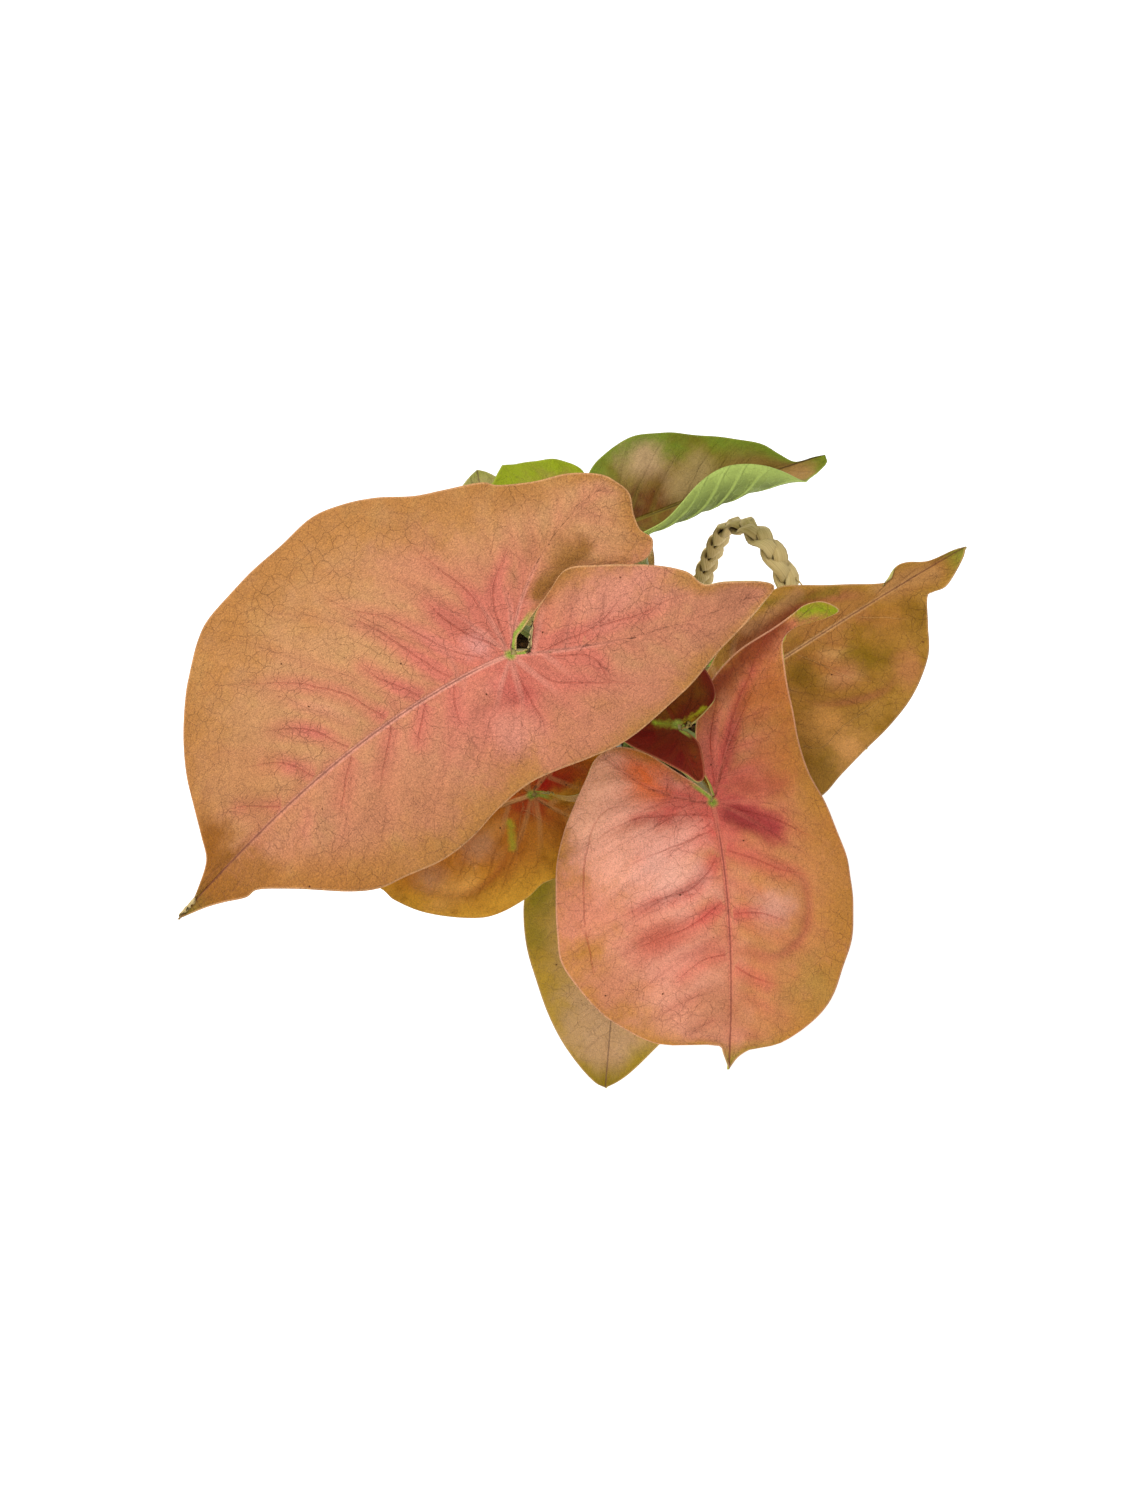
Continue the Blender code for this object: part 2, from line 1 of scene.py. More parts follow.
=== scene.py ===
"""A pink arrowhead plant in its nursery pot, set in a plaited straw basket: the finish of every piece.

The sections follow the plant as it is put together: basket, handles, pot, soil, stems, then leaf by
leaf, and last the floor, the light and the camera. Metres, +Z up, and +X runs through both handles.
Leaves are measured as a grower would: bearings in degrees round the plant from its front's right.
"""
from collections import namedtuple
from math import ceil, cos, pi, radians, sin, sqrt, tan, tau
from types import SimpleNamespace

import bmesh
import bpy
import numpy as np
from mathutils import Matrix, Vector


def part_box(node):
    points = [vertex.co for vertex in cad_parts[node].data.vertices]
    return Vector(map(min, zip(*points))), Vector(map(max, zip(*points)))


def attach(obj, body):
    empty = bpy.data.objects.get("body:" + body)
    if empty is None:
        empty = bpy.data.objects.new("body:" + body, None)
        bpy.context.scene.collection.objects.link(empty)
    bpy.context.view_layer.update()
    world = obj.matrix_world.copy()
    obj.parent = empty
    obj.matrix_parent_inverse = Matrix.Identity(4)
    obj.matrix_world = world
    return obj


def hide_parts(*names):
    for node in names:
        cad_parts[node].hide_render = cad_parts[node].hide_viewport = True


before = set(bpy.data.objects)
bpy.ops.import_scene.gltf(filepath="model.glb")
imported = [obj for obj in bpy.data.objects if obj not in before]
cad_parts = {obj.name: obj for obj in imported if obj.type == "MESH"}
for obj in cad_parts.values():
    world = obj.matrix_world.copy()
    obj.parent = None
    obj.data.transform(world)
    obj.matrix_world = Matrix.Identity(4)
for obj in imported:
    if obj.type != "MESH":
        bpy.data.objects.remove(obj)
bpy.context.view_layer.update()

# Basket: one long three-strand plait of straw, laid in rounds and sewn edge to edge, five rounds for
# the base and nine up the flared wall. A plain lining of the same straw backs it, and the top edge
# is rolled and bound with a flat straw.
MM = 0.001
basket_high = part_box("basket")[1]
BASKET_HEIGHT = basket_high.z
BASKET_RIM = basket_high.x
BASKET_FOOT = 45 * MM           # outer radius at the base
BASKET_WALL = 4.5 * MM
BASKET_FLOOR = 4 * MM
BASKET_ROWS = 9
FOOT_LIFT = 0.6 * MM            # the lowest round starts this far over the floor
BORDER = 4 * MM                 # radius of the rolled border
BORDER_PROUD = 2.4 * MM         # how far it stands out over the wall
BASKET_FLARE = 0.75             # power of the flare: 1 is a straight cone
ROUND_DEPTH = 4.6 * MM          # thickness of the plait in the wall
ROUND_LAP = 1.12                # width of a round over the height of its row
BASE_ROUNDS = 5
BASE_DEPTH = 3 * MM
BASE_LAP = 1.1                  # the same in the base
BASE_FILL = 0.9                 # thickness of the plait in the base, as a share of the base's
ROUND_PITCH = 27 * MM           # length in which a strand of the plait comes back to its side
SAMPLES = 15                    # points of a strand in each pitch
STRAND_SIDES = 10
STRAND_WIDE, STRAND_DEEP = 0.30, 0.17   # half sizes of a strand, as shares of the plait's
STRAND_DIVE = 0.75              # share of the free depth that a strand swings through
RIDGES, RIDGE_RISE = 5, 0.09    # ridges round a strand, and their height as a share of its size
FIBRE_SHIFT = 31.0              # mm between the fibre patterns of one strand and the next
TURN_STEPS = 96                 # steps round a turned solid
LINING_DEPTH = 0.55             # share of the plait's thickness that lies outside the lining
BINDING = 5.2 * MM              # width of the straw wound round the border
BINDING_STEPS = 8               # points along each winding
BINDING_PINCH = 0.12            # how far the straw draws in between two windings, as a share
BORDER_SIDES = 20
BORDER_SINK = 0.15 * MM         # keeps the bound border inside the solid one
STRAW_LIGHT = (205, 188, 142)
STRAW_MID = (172, 146, 90)
STRAW_DARK = (92, 68, 30)


def screen(red, green, blue):
    """A colour given as a screen shows it, 0 to 255, in the linear values that shaders take."""
    part = np.array([red, green, blue]) / 255
    linear = np.where(part <= 0.04045, part / 12.92, ((part + 0.055) / 1.055) ** 2.4)
    return (*linear.tolist(), 1.0)


class Wire:
    """An output socket of a material. Operators between wires, numbers and tuples add the nodes that
    work them out: Math for numbers, and Vector Math where one side is a colour or a vector."""

    def __init__(self, tree, socket):
        self.tree, self.socket = tree, socket

    def node(self, kind, inputs, output=0, **settings):
        """Adds a node: its settings first, then its sockets, each from a wire or a value."""
        made = self.tree.nodes.new("ShaderNode" + kind)
        for name, value in settings.items():
            setattr(made, name, value)
        for key, value in inputs.items():
            if isinstance(value, Wire):
                self.tree.links.new(value.socket, made.inputs[key])
            else:
                made.inputs[key].default_value = value
        return Wire(self.tree, made.outputs[output])

    def join(self, operation, left, right):
        """One operation on two sides, of which a number stands for a vector of three alike."""
        sides = [left, right]
        if any(isinstance(side, tuple) or getattr(side, "wide", False) for side in sides):
            sides = [side if isinstance(side, (Wire, tuple)) else (side,) * 3 for side in sides]
            return self.node("VectorMath", dict(enumerate(sides)), operation=operation)
        return self.node("Math", dict(enumerate(sides)), operation=operation)

    @property
    def wide(self):
        return self.socket.type != "VALUE"

    def __add__(self, other):
        return self.join("ADD", self, other)

    def __sub__(self, other):
        return self.join("SUBTRACT", self, other)

    def __rsub__(self, other):
        return self.join("SUBTRACT", other, self)

    def __mul__(self, other):
        return self.join("MULTIPLY", self, other)

    def __truediv__(self, other):
        return self.join("DIVIDE", self, other)

    __radd__, __rmul__ = __add__, __mul__

    def __abs__(self):
        return self.node("Math", {0: self}, operation="ABSOLUTE")

    def least(self, other):
        """The smaller of two numbers."""
        return self.join("MINIMUM", self, other)

    def most(self, other):
        """The larger of two numbers."""
        return self.join("MAXIMUM", self, other)

    def rise(self, low, high):
        """0 up to low, 1 from high, and a smooth step between; it falls where low is the higher."""
        sockets = {"Value": self, "From Min": low, "From Max": high}
        return self.node("MapRange", sockets, interpolation_type="SMOOTHSTEP")

    def to_line(self):
        """How far a phase is from its nearest whole number."""
        return abs(self.node("Math", {0: self + 0.5}, operation="FRACT") - 0.5)

    def mix(self, low, high):
        """The colour low where this is 0 and the colour high where it is 1."""
        return self.node("Mix", {0: self, 6: low, 7: high}, output=2, data_type="RGBA")

    def parts(self):
        """The three numbers of a vector."""
        split = self.node("SeparateXYZ", {0: self})
        outputs = split.socket.node.outputs
        return [Wire(self.tree, outputs[axis]) for axis in "XYZ"]

    def cloud(self, scale, detail=2.0, rough=0.5):
        """Soft noise at this place, with lumps about 1 / scale across."""
        return self.node("TexNoise", {"Vector": self, "Scale": scale, "Detail": detail, "Roughness": rough})

    def distance(self, line):
        """How far this place is from the point (x, y), or from the stretch (x, y, x2, y2)."""
        away = self - (line[0], line[1], 0)
        if len(line) == 4:
            ahead = (line[2] - line[0], line[3] - line[1], 0)
            square = ahead[0] ** 2 + ahead[1] ** 2
            share = away.node("VectorMath", {0: away, 1: ahead}, output=1, operation="DOT_PRODUCT")
            share = share.node("Math", {0: share, 1: square}, operation="DIVIDE", use_clamp=True)
            away = away - share * ahead
        return away.node("VectorMath", {0: away}, output=1, operation="LENGTH")

    def field(self, name, output=1):
        """A point attribute of the piece: output 1 is a vector, output 2 a number."""
        return self.node("Attribute", {}, output=output, attribute_name=name)


def new_finish(name, constants):
    """A material, with the sockets that are the same all over set on its Principled shader, and the
    wire of its object's coordinates, from which the others start."""
    material = bpy.data.materials.new(name)
    material.use_nodes = True
    tree = material.node_tree
    for socket, value in constants.items():
        tree.nodes["Principled BSDF"].inputs[socket].default_value = value
    place = tree.nodes.new("ShaderNodeTexCoord")
    return material, Wire(tree, place.outputs["Object"])


def dress(material, colour, roughness=None, height=None, depth=0.0):
    """Feeds a Principled shader: its colour, its roughness, and a height that a bump of the given
    depth turns into its normal."""
    tree = material.node_tree
    shader = tree.nodes["Principled BSDF"]
    tree.links.new(colour.socket, shader.inputs["Base Color"])
    if roughness:
        tree.links.new(roughness.socket, shader.inputs["Roughness"])
    if height:
        bump = height.node("Bump", {"Strength": 1.0, "Distance": depth, "Height": height})
        tree.links.new(bump.socket, shader.inputs["Normal"])


def put_mesh(name, points, faces, materials, **fields):
    """A smooth mesh piece from points in metres and faces as lists of point numbers. Each further
    field, of numbers or of vectors, becomes a point attribute of that name."""
    mesh = bpy.data.meshes.new(name)
    mesh.from_pydata(points, [], faces)
    for field, values in fields.items():
        kind, key = ("FLOAT_VECTOR", "vector") if values.ndim == 2 else ("FLOAT", "value")
        attribute = mesh.attributes.new(field, kind, "POINT")
        attribute.data.foreach_set(key, values.astype(np.float32).ravel())
    for material in materials:
        mesh.materials.append(material)
    mesh.shade_smooth()
    piece = bpy.data.objects.new(name, mesh)
    bpy.context.scene.collection.objects.link(piece)
    return piece


def grid_faces(rows, columns, closed_rows=False, closed_columns=False):
    """Quads over points numbered row by row; a closed direction joins its end to its start."""
    row = np.arange(rows if closed_rows else rows - 1)[:, None]
    column = np.arange(columns if closed_columns else columns - 1)[None, :]
    row_next, column_next = (row + 1) % rows, (column + 1) % columns
    corners = (row * columns + column, row * columns + column_next,
               row_next * columns + column_next, row_next * columns + column)
    return np.stack(corners, axis=-1).reshape(-1, 4)


def unit(vectors):
    """The same vectors, one long."""
    return vectors / np.linalg.norm(vectors, axis=-1, keepdims=True)


def plait(path, across, out, turns, width, depth, closed):
    """Three flat strands plaited along a path: (strands, steps, sides, 3) points and, for each, its
    place in the strand as (along, sideways, deep) in mm for the fibres.

    Strand k swings sideways by the sine of its phase and in and out by the sine of twice that, a
    third of a turn after the last. Each keeps its flat side out, and its section is an oval whose
    skin is drawn into ridges."""
    steps = len(path)
    run = np.arange(steps) / (steps if closed else steps - 1)
    phase = tau * (turns * run + np.arange(3)[:, None] / 3)
    strand_wide, strand_deep = width * STRAND_WIDE, depth * STRAND_DEEP
    wide = (width / 2 - strand_wide) * np.sin(phase)
    deep = (depth / 2 - strand_deep) * STRAND_DIVE * np.sin(2 * phase)
    centre = path + across * wide[..., None] + out * deep[..., None]
    if closed:
        ahead = np.roll(centre, -1, axis=1) - np.roll(centre, 1, axis=1)
    else:
        ahead = np.gradient(centre, axis=1)
    ahead = unit(ahead)
    flat = unit(np.cross(out, ahead))
    face = np.cross(ahead, flat)
    around = np.arange(STRAND_SIDES) / STRAND_SIDES * tau
    ridge = 1 + RIDGE_RISE * np.cos(RIDGES * around)
    section = np.stack([strand_wide * np.cos(around), strand_deep * np.sin(around)]) * ridge
    points = (centre[:, :, None] + flat[:, :, None] * section[0][:, None]
              + face[:, :, None] * section[1][:, None])
    length = np.linalg.norm(np.diff(path, axis=0), axis=1).sum()
    place = np.broadcast_to(run[None, :, None] * length, points.shape[:3])
    fibre = np.stack([place, *np.broadcast_to(section[:, None, None], (2, *points.shape[:3]))], axis=-1)
    return points, fibre / MM


def join_strands(name, groups, closed, material):
    """One mesh from groups of strands, each (strands, steps, sides, 3) points and fibre places. An
    open strand is capped at both ends. Each strand's fibres start from their own place."""
    all_points, all_fibre, faces, first = [], [], [], 0
    for points, fibre in groups:
        strands, steps, sides = points.shape[:3]
        for strand in range(strands):
            faces += (grid_faces(steps, sides, closed, True) + first).tolist()
            if not closed:
                faces.append(np.arange(first, first + sides)[::-1].tolist())
                faces.append(np.arange(first + (steps - 1) * sides, first + steps * sides).tolist())
            all_points.append(points[strand].reshape(-1, 3))
            all_fibre.append((fibre[strand] + [0, 0, FIBRE_SHIFT * len(all_fibre)]).reshape(-1, 3))
            first += steps * sides
    return put_mesh(name, np.vstack(all_points), faces, [material], fibre=np.vstack(all_fibre))


def straw_finish(name, light, mid, dark):
    """Dried straw: long fibres in light and mid tones, dull, with brown stains, and painted shade that
    darkens the hollows between strands."""
    material, place = new_finish(name, {"Specular IOR Level": 0.3})
    fibre = place.field("fibre")
    streaks = (fibre * (0.05, 2.2, 2.2)).cloud(1.0, 3.0, 0.6)
    strand = (fibre * (0.012, 0.02, 0.04)).cloud(1.0, 1.0)
    stain = (place / MM).cloud(0.11, 3.0, 0.6)
    colour = (streaks * 0.7 + strand * 0.5).rise(0.35, 0.85).mix(screen(*mid), screen(*light))
    colour = stain.rise(0.60, 0.78).mix(colour, screen(*dark))
    # Painted shade: ambient occlusion darkens the colour in the hollows between the strands
    hollow = place.node("AmbientOcclusion", {"Distance": 2.0 * MM}, output=1, samples=4)
    colour = hollow.rise(0.85, 0.25).mix(colour, screen(*dark))
    dress(material, colour, streaks * 0.2 + 0.6, streaks, 0.25 * MM)
    return material


def basket_radius(height):
    """Outer radius of the wall at a height: it flares from the foot and rounds up."""
    return BASKET_FOOT + (BASKET_RIM - BORDER_PROUD - BASKET_FOOT) * (height / BASKET_HEIGHT) ** BASKET_FLARE


def straw_round(radius, height, slope, width, depth):
    """A closed round of the plait, centred on a ring. slope is the wall's lean there as (outward,
    upward), and the plait's flat side faces square to it."""
    turns = round(tau * radius / ROUND_PITCH)
    turn = np.arange(turns * SAMPLES) / (turns * SAMPLES) * tau
    outward = np.stack([np.cos(turn), np.sin(turn), 0 * turn], axis=1)
    path = outward * radius + (0, 0, height)
    across = outward * slope[0] + (0, 0, slope[1])
    out = outward * slope[1] - (0, 0, slope[0])
    return plait(path, across, out, turns, width, depth, True)


wall_top = BASKET_HEIGHT - 2 * BORDER
row_height = (wall_top - FOOT_LIFT) / BASKET_ROWS
straw_rounds = []
for row in range(BASKET_ROWS):
    middle = FOOT_LIFT + (row + 0.5) * row_height
    lean = (basket_radius(middle + row_height / 2) - basket_radius(middle - row_height / 2)) / row_height
    slope = unit(np.array([lean, 1.0]))
    straw_rounds.append(straw_round(basket_radius(middle) - ROUND_DEPTH / 2, middle, slope,
                                    row_height * ROUND_LAP / slope[1], ROUND_DEPTH))
base_step = (BASKET_FOOT - 2 * MM) / BASE_ROUNDS
for ring in range(BASE_ROUNDS):
    straw_rounds.append(straw_round((ring + 0.5) * base_step, BASE_DEPTH / 2, (1.0, 0.0),
                                    base_step * BASE_LAP, BASE_DEPTH * BASE_FILL))
straw = straw_finish("straw_plait", STRAW_LIGHT, STRAW_MID, STRAW_DARK)
basket_plait = join_strands("basket_plait", straw_rounds, True, straw)
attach(basket_plait, "root")
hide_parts("basket")


def turned(name, profile, steps, material):
    """A solid of revolution: the profile of (radius, height), whose two ends lie on the axis, is
    carried round it. Its poles are fans, and its faces look outwards."""
    radius, height = np.array(profile[1:-1]).T
    turn = np.arange(steps) / steps * tau
    ring = np.stack([np.outer(np.cos(turn), radius), np.outer(np.sin(turn), radius),
                     np.broadcast_to(height, (steps, len(height)))], axis=-1)
    count = len(radius)
    points = np.vstack([ring.reshape(-1, 3), [(0, 0, profile[0][1]), (0, 0, profile[-1][1])]])
    spoke, nxt = np.arange(steps) * count, np.roll(np.arange(steps), -1) * count
    start = np.stack([spoke, nxt, np.full(steps, steps * count)], axis=1)
    end = np.stack([nxt + count - 1, spoke + count - 1, np.full(steps, steps * count + 1)], axis=1)
    faces = grid_faces(steps, count, True).tolist() + start.tolist() + end.tolist()
    piece = put_mesh(name, points, faces, [material])
    fix = bmesh.new()
    fix.from_mesh(piece.data)
    bmesh.ops.recalc_face_normals(fix, faces=fix.faces)
    fix.to_mesh(piece.data)
    fix.free()
    piece.data.set_sharp_from_angle(angle=radians(40))
    return piece


def lining_finish():
    """The lining: fine straw laid round the wall, darker than the plait."""
    material, place = new_finish("straw_lining", {"Specular IOR Level": 0.2})
    rounds = (place * (300.0, 300.0, 1400.0)).cloud(1.0, 3.0, 0.6)
    colour = rounds.rise(0.3, 0.7).mix(screen(*STRAW_DARK), screen(*STRAW_MID))
    dress(material, colour, rounds * 0.1 + 0.75, rounds, 0.3 * MM)
    return material


heights = np.linspace(BASKET_FLOOR, wall_top + BORDER, 12)
inner = [(basket_radius(z) - BASKET_WALL, z) for z in heights]
outer = [(basket_radius(z) - ROUND_DEPTH * LINING_DEPTH, z) for z in heights[::-1]]
under = [(BASKET_FOOT - 2 * BASKET_WALL, BASE_DEPTH / 2), (0, BASE_DEPTH / 2)]
lining = turned("basket_lining", [(0, BASKET_FLOOR), *inner, *outer, *under], TURN_STEPS, lining_finish())
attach(lining, "root")
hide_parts("basket")

bindings = round(tau * (BASKET_RIM - BORDER) / BINDING)
wound = np.arange(bindings * BINDING_STEPS) / (bindings * BINDING_STEPS) * tau
spin = np.arange(BORDER_SIDES) / BORDER_SIDES * tau
winding = wound[:, None] * bindings + spin
roll = (BORDER - BORDER_SINK) * (1 - BINDING_PINCH * np.abs(np.cos(winding / 2)) ** 6)
border_reach = BASKET_RIM - BORDER + roll * np.cos(spin)
border_points = np.stack([np.cos(wound)[:, None] * border_reach, np.sin(wound)[:, None] * border_reach,
                          BASKET_HEIGHT - BORDER + roll * np.sin(spin)], axis=-1)
border_fibre = np.stack([np.broadcast_to(spin * BORDER, winding.shape),
                         np.broadcast_to(wound[:, None] * BASKET_RIM, winding.shape), 0 * winding], axis=-1)
border = join_strands("basket_border", [(border_points[None], border_fibre[None] / MM)], True, straw)
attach(border, "root")
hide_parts("basket")

# Handles: two loops of the same three-strand plait, thicker and paler, that stand up and lean out.
# Their legs are tucked down outside the wall, where they are sewn on. Worn ends of straw stick out.
PLAIT_WIDTH = 8.5 * MM          # square to the loop's plane
PLAIT_DEPTH = 6 * MM
HANDLE_PITCH = 26 * MM
HANDLE_LEAN = radians(10)
HANDLE_GAP = 0.3 * MM           # between the plait and the border
LEG = 20 * MM
LEG_TUCK = 3 * MM
# Half of the loop's centre line, seen square on: sideways from its middle, up from the rim, in mm
HANDLE_LOOP = ((18, -20), (19, -6), (20, 6), (20, 22), (18.5, 37), (11, 48), (0, 52))
LOOSE_ENDS = ((0.18, 40), (0.42, -50), (0.57, 35), (0.66, -30))   # share of the loop, degrees off it
STUB_LENGTH, STUB_LIFT, STUB_RADIUS = 7 * MM, 3 * MM, 0.4 * MM   # a loose end along, away and through
STUB_ROOT = 2.5 * MM            # where it starts, off the plait's middle line
HANDLE_LIGHT = (234, 210, 150)
HANDLE_MID = (192, 162, 98)
HANDLE_DARK = (44, 28, 0)


def spline(points, count):
    """A smooth curve through the points (Catmull-Rom), count steps to each span."""
    pts = np.asarray(points, float)
    pts = np.vstack([2 * pts[0] - pts[1], pts, 2 * pts[-1] - pts[-2]])
    t = np.linspace(0, 1, count, endpoint=False)[:, None]
    spans = [0.5 * (2 * b + (c - a) * t + (2 * a - 5 * b + 4 * c - d) * t**2 + (3 * b - a - 3 * c + d) * t**3)
             for a, b, c, d in zip(pts, pts[1:], pts[2:], pts[3:])]
    return np.vstack(spans + [pts[-2][None]])


def resample(path, count, corners=0.0):
    """The same path with count points spaced evenly along it, closer where it turns: each radian
    of turning counts as a further length of corners."""
    step = np.diff(path, axis=0)
    length = np.linalg.norm(step, axis=1)
    facing = step / np.maximum(length, 1e-9)[:, None]
    length[1:] += corners * np.arccos(np.clip((facing[1:] * facing[:-1]).sum(axis=1), -1, 1))
    run = np.concatenate([[0], np.cumsum(length)])
    want = np.linspace(0, run[-1], count)
    return np.stack([np.interp(want, run, column) for column in path.T], axis=1)


def handle_path(count):
    """The right handle's centre line: up outside the rim, over, and down again."""
    half = spline(HANDLE_LOOP, 12) * MM
    side, up = resample(np.vstack([half, (half * (-1, 1))[-2::-1]]), count).T
    start = sqrt(BASKET_RIM**2 - (HANDLE_LOOP[1][0] * MM) ** 2) + HANDLE_GAP + PLAIT_DEPTH / 2
    out = start + np.clip(up, 0, None) * tan(HANDLE_LEAN) - LEG_TUCK * (np.clip(up, None, 0) / LEG) ** 2
    return np.stack([out, side, BASKET_HEIGHT + up], axis=1)


def loose_straw(path, out, share, degrees):
    """A stub of straw that has sprung out of the plait: a thin tapering tube, bent back along it."""
    at = round(share * (len(path) - 1))
    ahead = unit(path[min(at + 1, len(path) - 1)] - path[at])
    aside = unit(np.cross(ahead, out)) * sin(radians(degrees)) + out * 0.5
    t = np.linspace(0, 1, 7)[:, None]
    line = path[at] + unit(aside) * (STUB_ROOT + STUB_LIFT * t) + ahead * STUB_LENGTH * t**1.5
    around = np.arange(6) / 6 * tau
    reach = STUB_RADIUS * (1 - 0.7 * t)
    flat = unit(np.cross(ahead, aside))
    points = (line[:, None] + flat * (reach * np.cos(around))[..., None]
              + unit(np.cross(flat, ahead)) * (reach * np.sin(around))[..., None])
    return points[None], points[None] / MM


handle_straw = straw_finish("handle_straw", HANDLE_LIGHT, HANDLE_MID, HANDLE_DARK)
loop_length = np.linalg.norm(np.diff(handle_path(200), axis=0), axis=1).sum()
loop_turns = loop_length / HANDLE_PITCH
for name, side in (("handle_right", 1), ("handle_left", -1)):
    path = handle_path(ceil(loop_turns * SAMPLES)) * (side, side, 1)
    outward = np.array([side * cos(HANDLE_LEAN), 0, -sin(HANDLE_LEAN)])
    radial = unit(np.cross(outward, unit(np.gradient(path, axis=0))))
    across = np.broadcast_to(outward, path.shape)
    strands = plait(path, across, radial, loop_turns, PLAIT_WIDTH, PLAIT_DEPTH, False)
    stubs = [loose_straw(path, outward, share, degrees) for share, degrees in LOOSE_ENDS]
    loop = join_strands(name + "_plait", [strands, *stubs], False, handle_straw)
    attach(loop, "root")
    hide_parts(name)

# Nursery pot: the thin black grower's pot that the plant was bought in, pressed from sheet plastic,
# with a rolled lip; its drain holes are left out. It stands loose on the basket's floor.
pot_low, pot_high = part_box("nursery_pot")
POT_WALL = 1.2 * MM
POT_LIP = 2 * MM
POT_FOOT = 37 * MM
POT_BEVEL, POT_FILLET = 2 * MM, 3 * MM   # cut off the corner of the foot, outside and inside
POT_TOP = pot_high.x - POT_LIP
POT_BLACK = (38, 38, 37)
POT_DUST = (92, 84, 72)


def pot_finish():
    """Black plastic, satin, with a little dust and dried soil on it."""
    material, place = new_finish("pot_black", {"Specular IOR Level": 0.4})
    dust = (place / MM).cloud(0.16, 4.0, 0.6)
    colour = dust.rise(0.52, 0.75).mix(screen(*POT_BLACK), screen(*POT_DUST))
    dress(material, colour, dust * 0.3 + 0.3, (place / MM).cloud(2.0, 2.0), 0.03 * MM)
    return material


lip = POT_LIP * 0.5
rolled = [(POT_TOP + lip + lip * cos(a), pot_high.z - lip + lip * sin(a))
          for a in np.radians(np.arange(150, -60, -30))]
foot = POT_FOOT - POT_WALL
floor_top = pot_low.z + POT_WALL
pot = turned("pot_shell", [(0, floor_top), (foot - POT_FILLET, floor_top), (foot, pot_low.z + POT_FILLET),
                           (POT_TOP - POT_WALL, pot_high.z - POT_LIP), *rolled,
                           (POT_TOP + POT_LIP, pot_high.z - 2 * POT_LIP), (POT_TOP, pot_high.z - 2 * POT_LIP),
                           (POT_FOOT, pot_low.z + POT_BEVEL), (POT_FOOT - POT_BEVEL, pot_low.z),
                           (0, pot_low.z)], TURN_STEPS, pot_finish())
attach(pot, "root")
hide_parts("nursery_pot")

# Soil: dark peat that fills the pot and is heaped a little round the stems, with crumbs, bark chips
# and grains of white perlite lying in it.
soil_low, soil_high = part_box("soil")
SOIL_RADIUS = soil_high.x
SOIL_HEAP = 2.5 * MM
SOIL_SPOKES, SOIL_RINGS = 120, 44
CRUMBS, CRUMB_SIZES = 420, (0.8 * MM, 2.6 * MM)
PERLITE, PERLITE_SIZES = 60, (0.7 * MM, 1.5 * MM)
GRAIN_RINGS, GRAIN_SIDES = 5, 7
GRAIN_DENT = 0.2                # how far a grain's points lie in or out, as a share
PEAT_DARK, PEAT_LIGHT = (34, 24, 18), (92, 68, 50)
BARK_DARK, BARK_LIGHT = (52, 34, 22), (112, 80, 54)
PERLITE_DARK, PERLITE_LIGHT = (190, 186, 176), (236, 234, 228)
crumb_draw = np.random.default_rng(7)


def soil_top(radius, turn):
    """Height of the soil: a low heap with lumps from a few waves that cross each other."""
    x, y = radius * np.cos(turn) / MM, radius * np.sin(turn) / MM
    lumps = np.sin(0.31 * x + 1.3 * np.sin(0.17 * y)) * np.sin(0.27 * y + 1.1 * np.sin(0.21 * x))
    fine = np.sin(0.9 * x + 2.0 * np.sin(0.5 * y)) * np.sin(0.8 * y + 1.7 * np.sin(0.6 * x))
    share = radius / SOIL_RADIUS
    return soil_high.z - 2 * SOIL_HEAP * share**2 + (0.7 * lumps + 0.35 * fine - 1.0) * MM * (1 - share**8)


def soil_finish():
    """Peat: nearly black brown, dull and crumbly."""
    material, place = new_finish("peat", {"Specular IOR Level": 0.2})
    crumble = (place / MM).cloud(0.7, 6.0, 0.7)
    colour = crumble.rise(0.3, 0.75).mix(screen(*PEAT_DARK), screen(*PEAT_LIGHT))
    dress(material, colour, crumble * 0.1 + 0.85, crumble, 1.2 * MM)
    return material


def grain_finish(name, dark, light):
    """Grains and chips: one tone each, a little mottled."""
    material, place = new_finish(name, {"Specular IOR Level": 0.25})
    mottle = (place / MM).cloud(0.5, 4.0, 0.6)
    colour = mottle.rise(0.3, 0.7).mix(screen(*dark), screen(*light))
    dress(material, colour, mottle * 0.1 + 0.8, mottle, 0.3 * MM)
    return material


def grains(name, count, smallest, largest, material):
    """Grains scattered over the soil, each a dented ball of a few rings, turned its own way."""
    size = crumb_draw.uniform(smallest, largest, (count, 1, 1, 3)) * (1, 0.8, 0.6)
    radius = (SOIL_RADIUS - largest) * np.sqrt(crumb_draw.uniform(0, 1, count))
    turn = crumb_draw.uniform(0, tau, count)
    centre = np.stack([radius * np.cos(turn), radius * np.sin(turn), soil_top(radius, turn)], axis=1)
    polar = np.linspace(0.35, pi - 0.35, GRAIN_RINGS)[:, None]
    around = np.arange(GRAIN_SIDES) / GRAIN_SIDES * tau
    ball = np.stack(np.broadcast_arrays(np.sin(polar) * np.cos(around), np.sin(polar) * np.sin(around),
                                        np.cos(polar)), axis=-1)
    dent = 1 + crumb_draw.uniform(-GRAIN_DENT, GRAIN_DENT, (count, GRAIN_RINGS, GRAIN_SIDES, 1))
    spin = crumb_draw.uniform(0, tau, count)[:, None, None]
    x, y, z = np.moveaxis(ball * size * dent, -1, 0)
    points = np.stack([x * np.cos(spin) - y * np.sin(spin), x * np.sin(spin) + y * np.cos(spin),
                       z + x * 0.4 * np.sin(3 * spin)], axis=-1) + centre[:, None, None]
    return join_strands(name, [(points[:, ::-1], points / MM)], False, material)


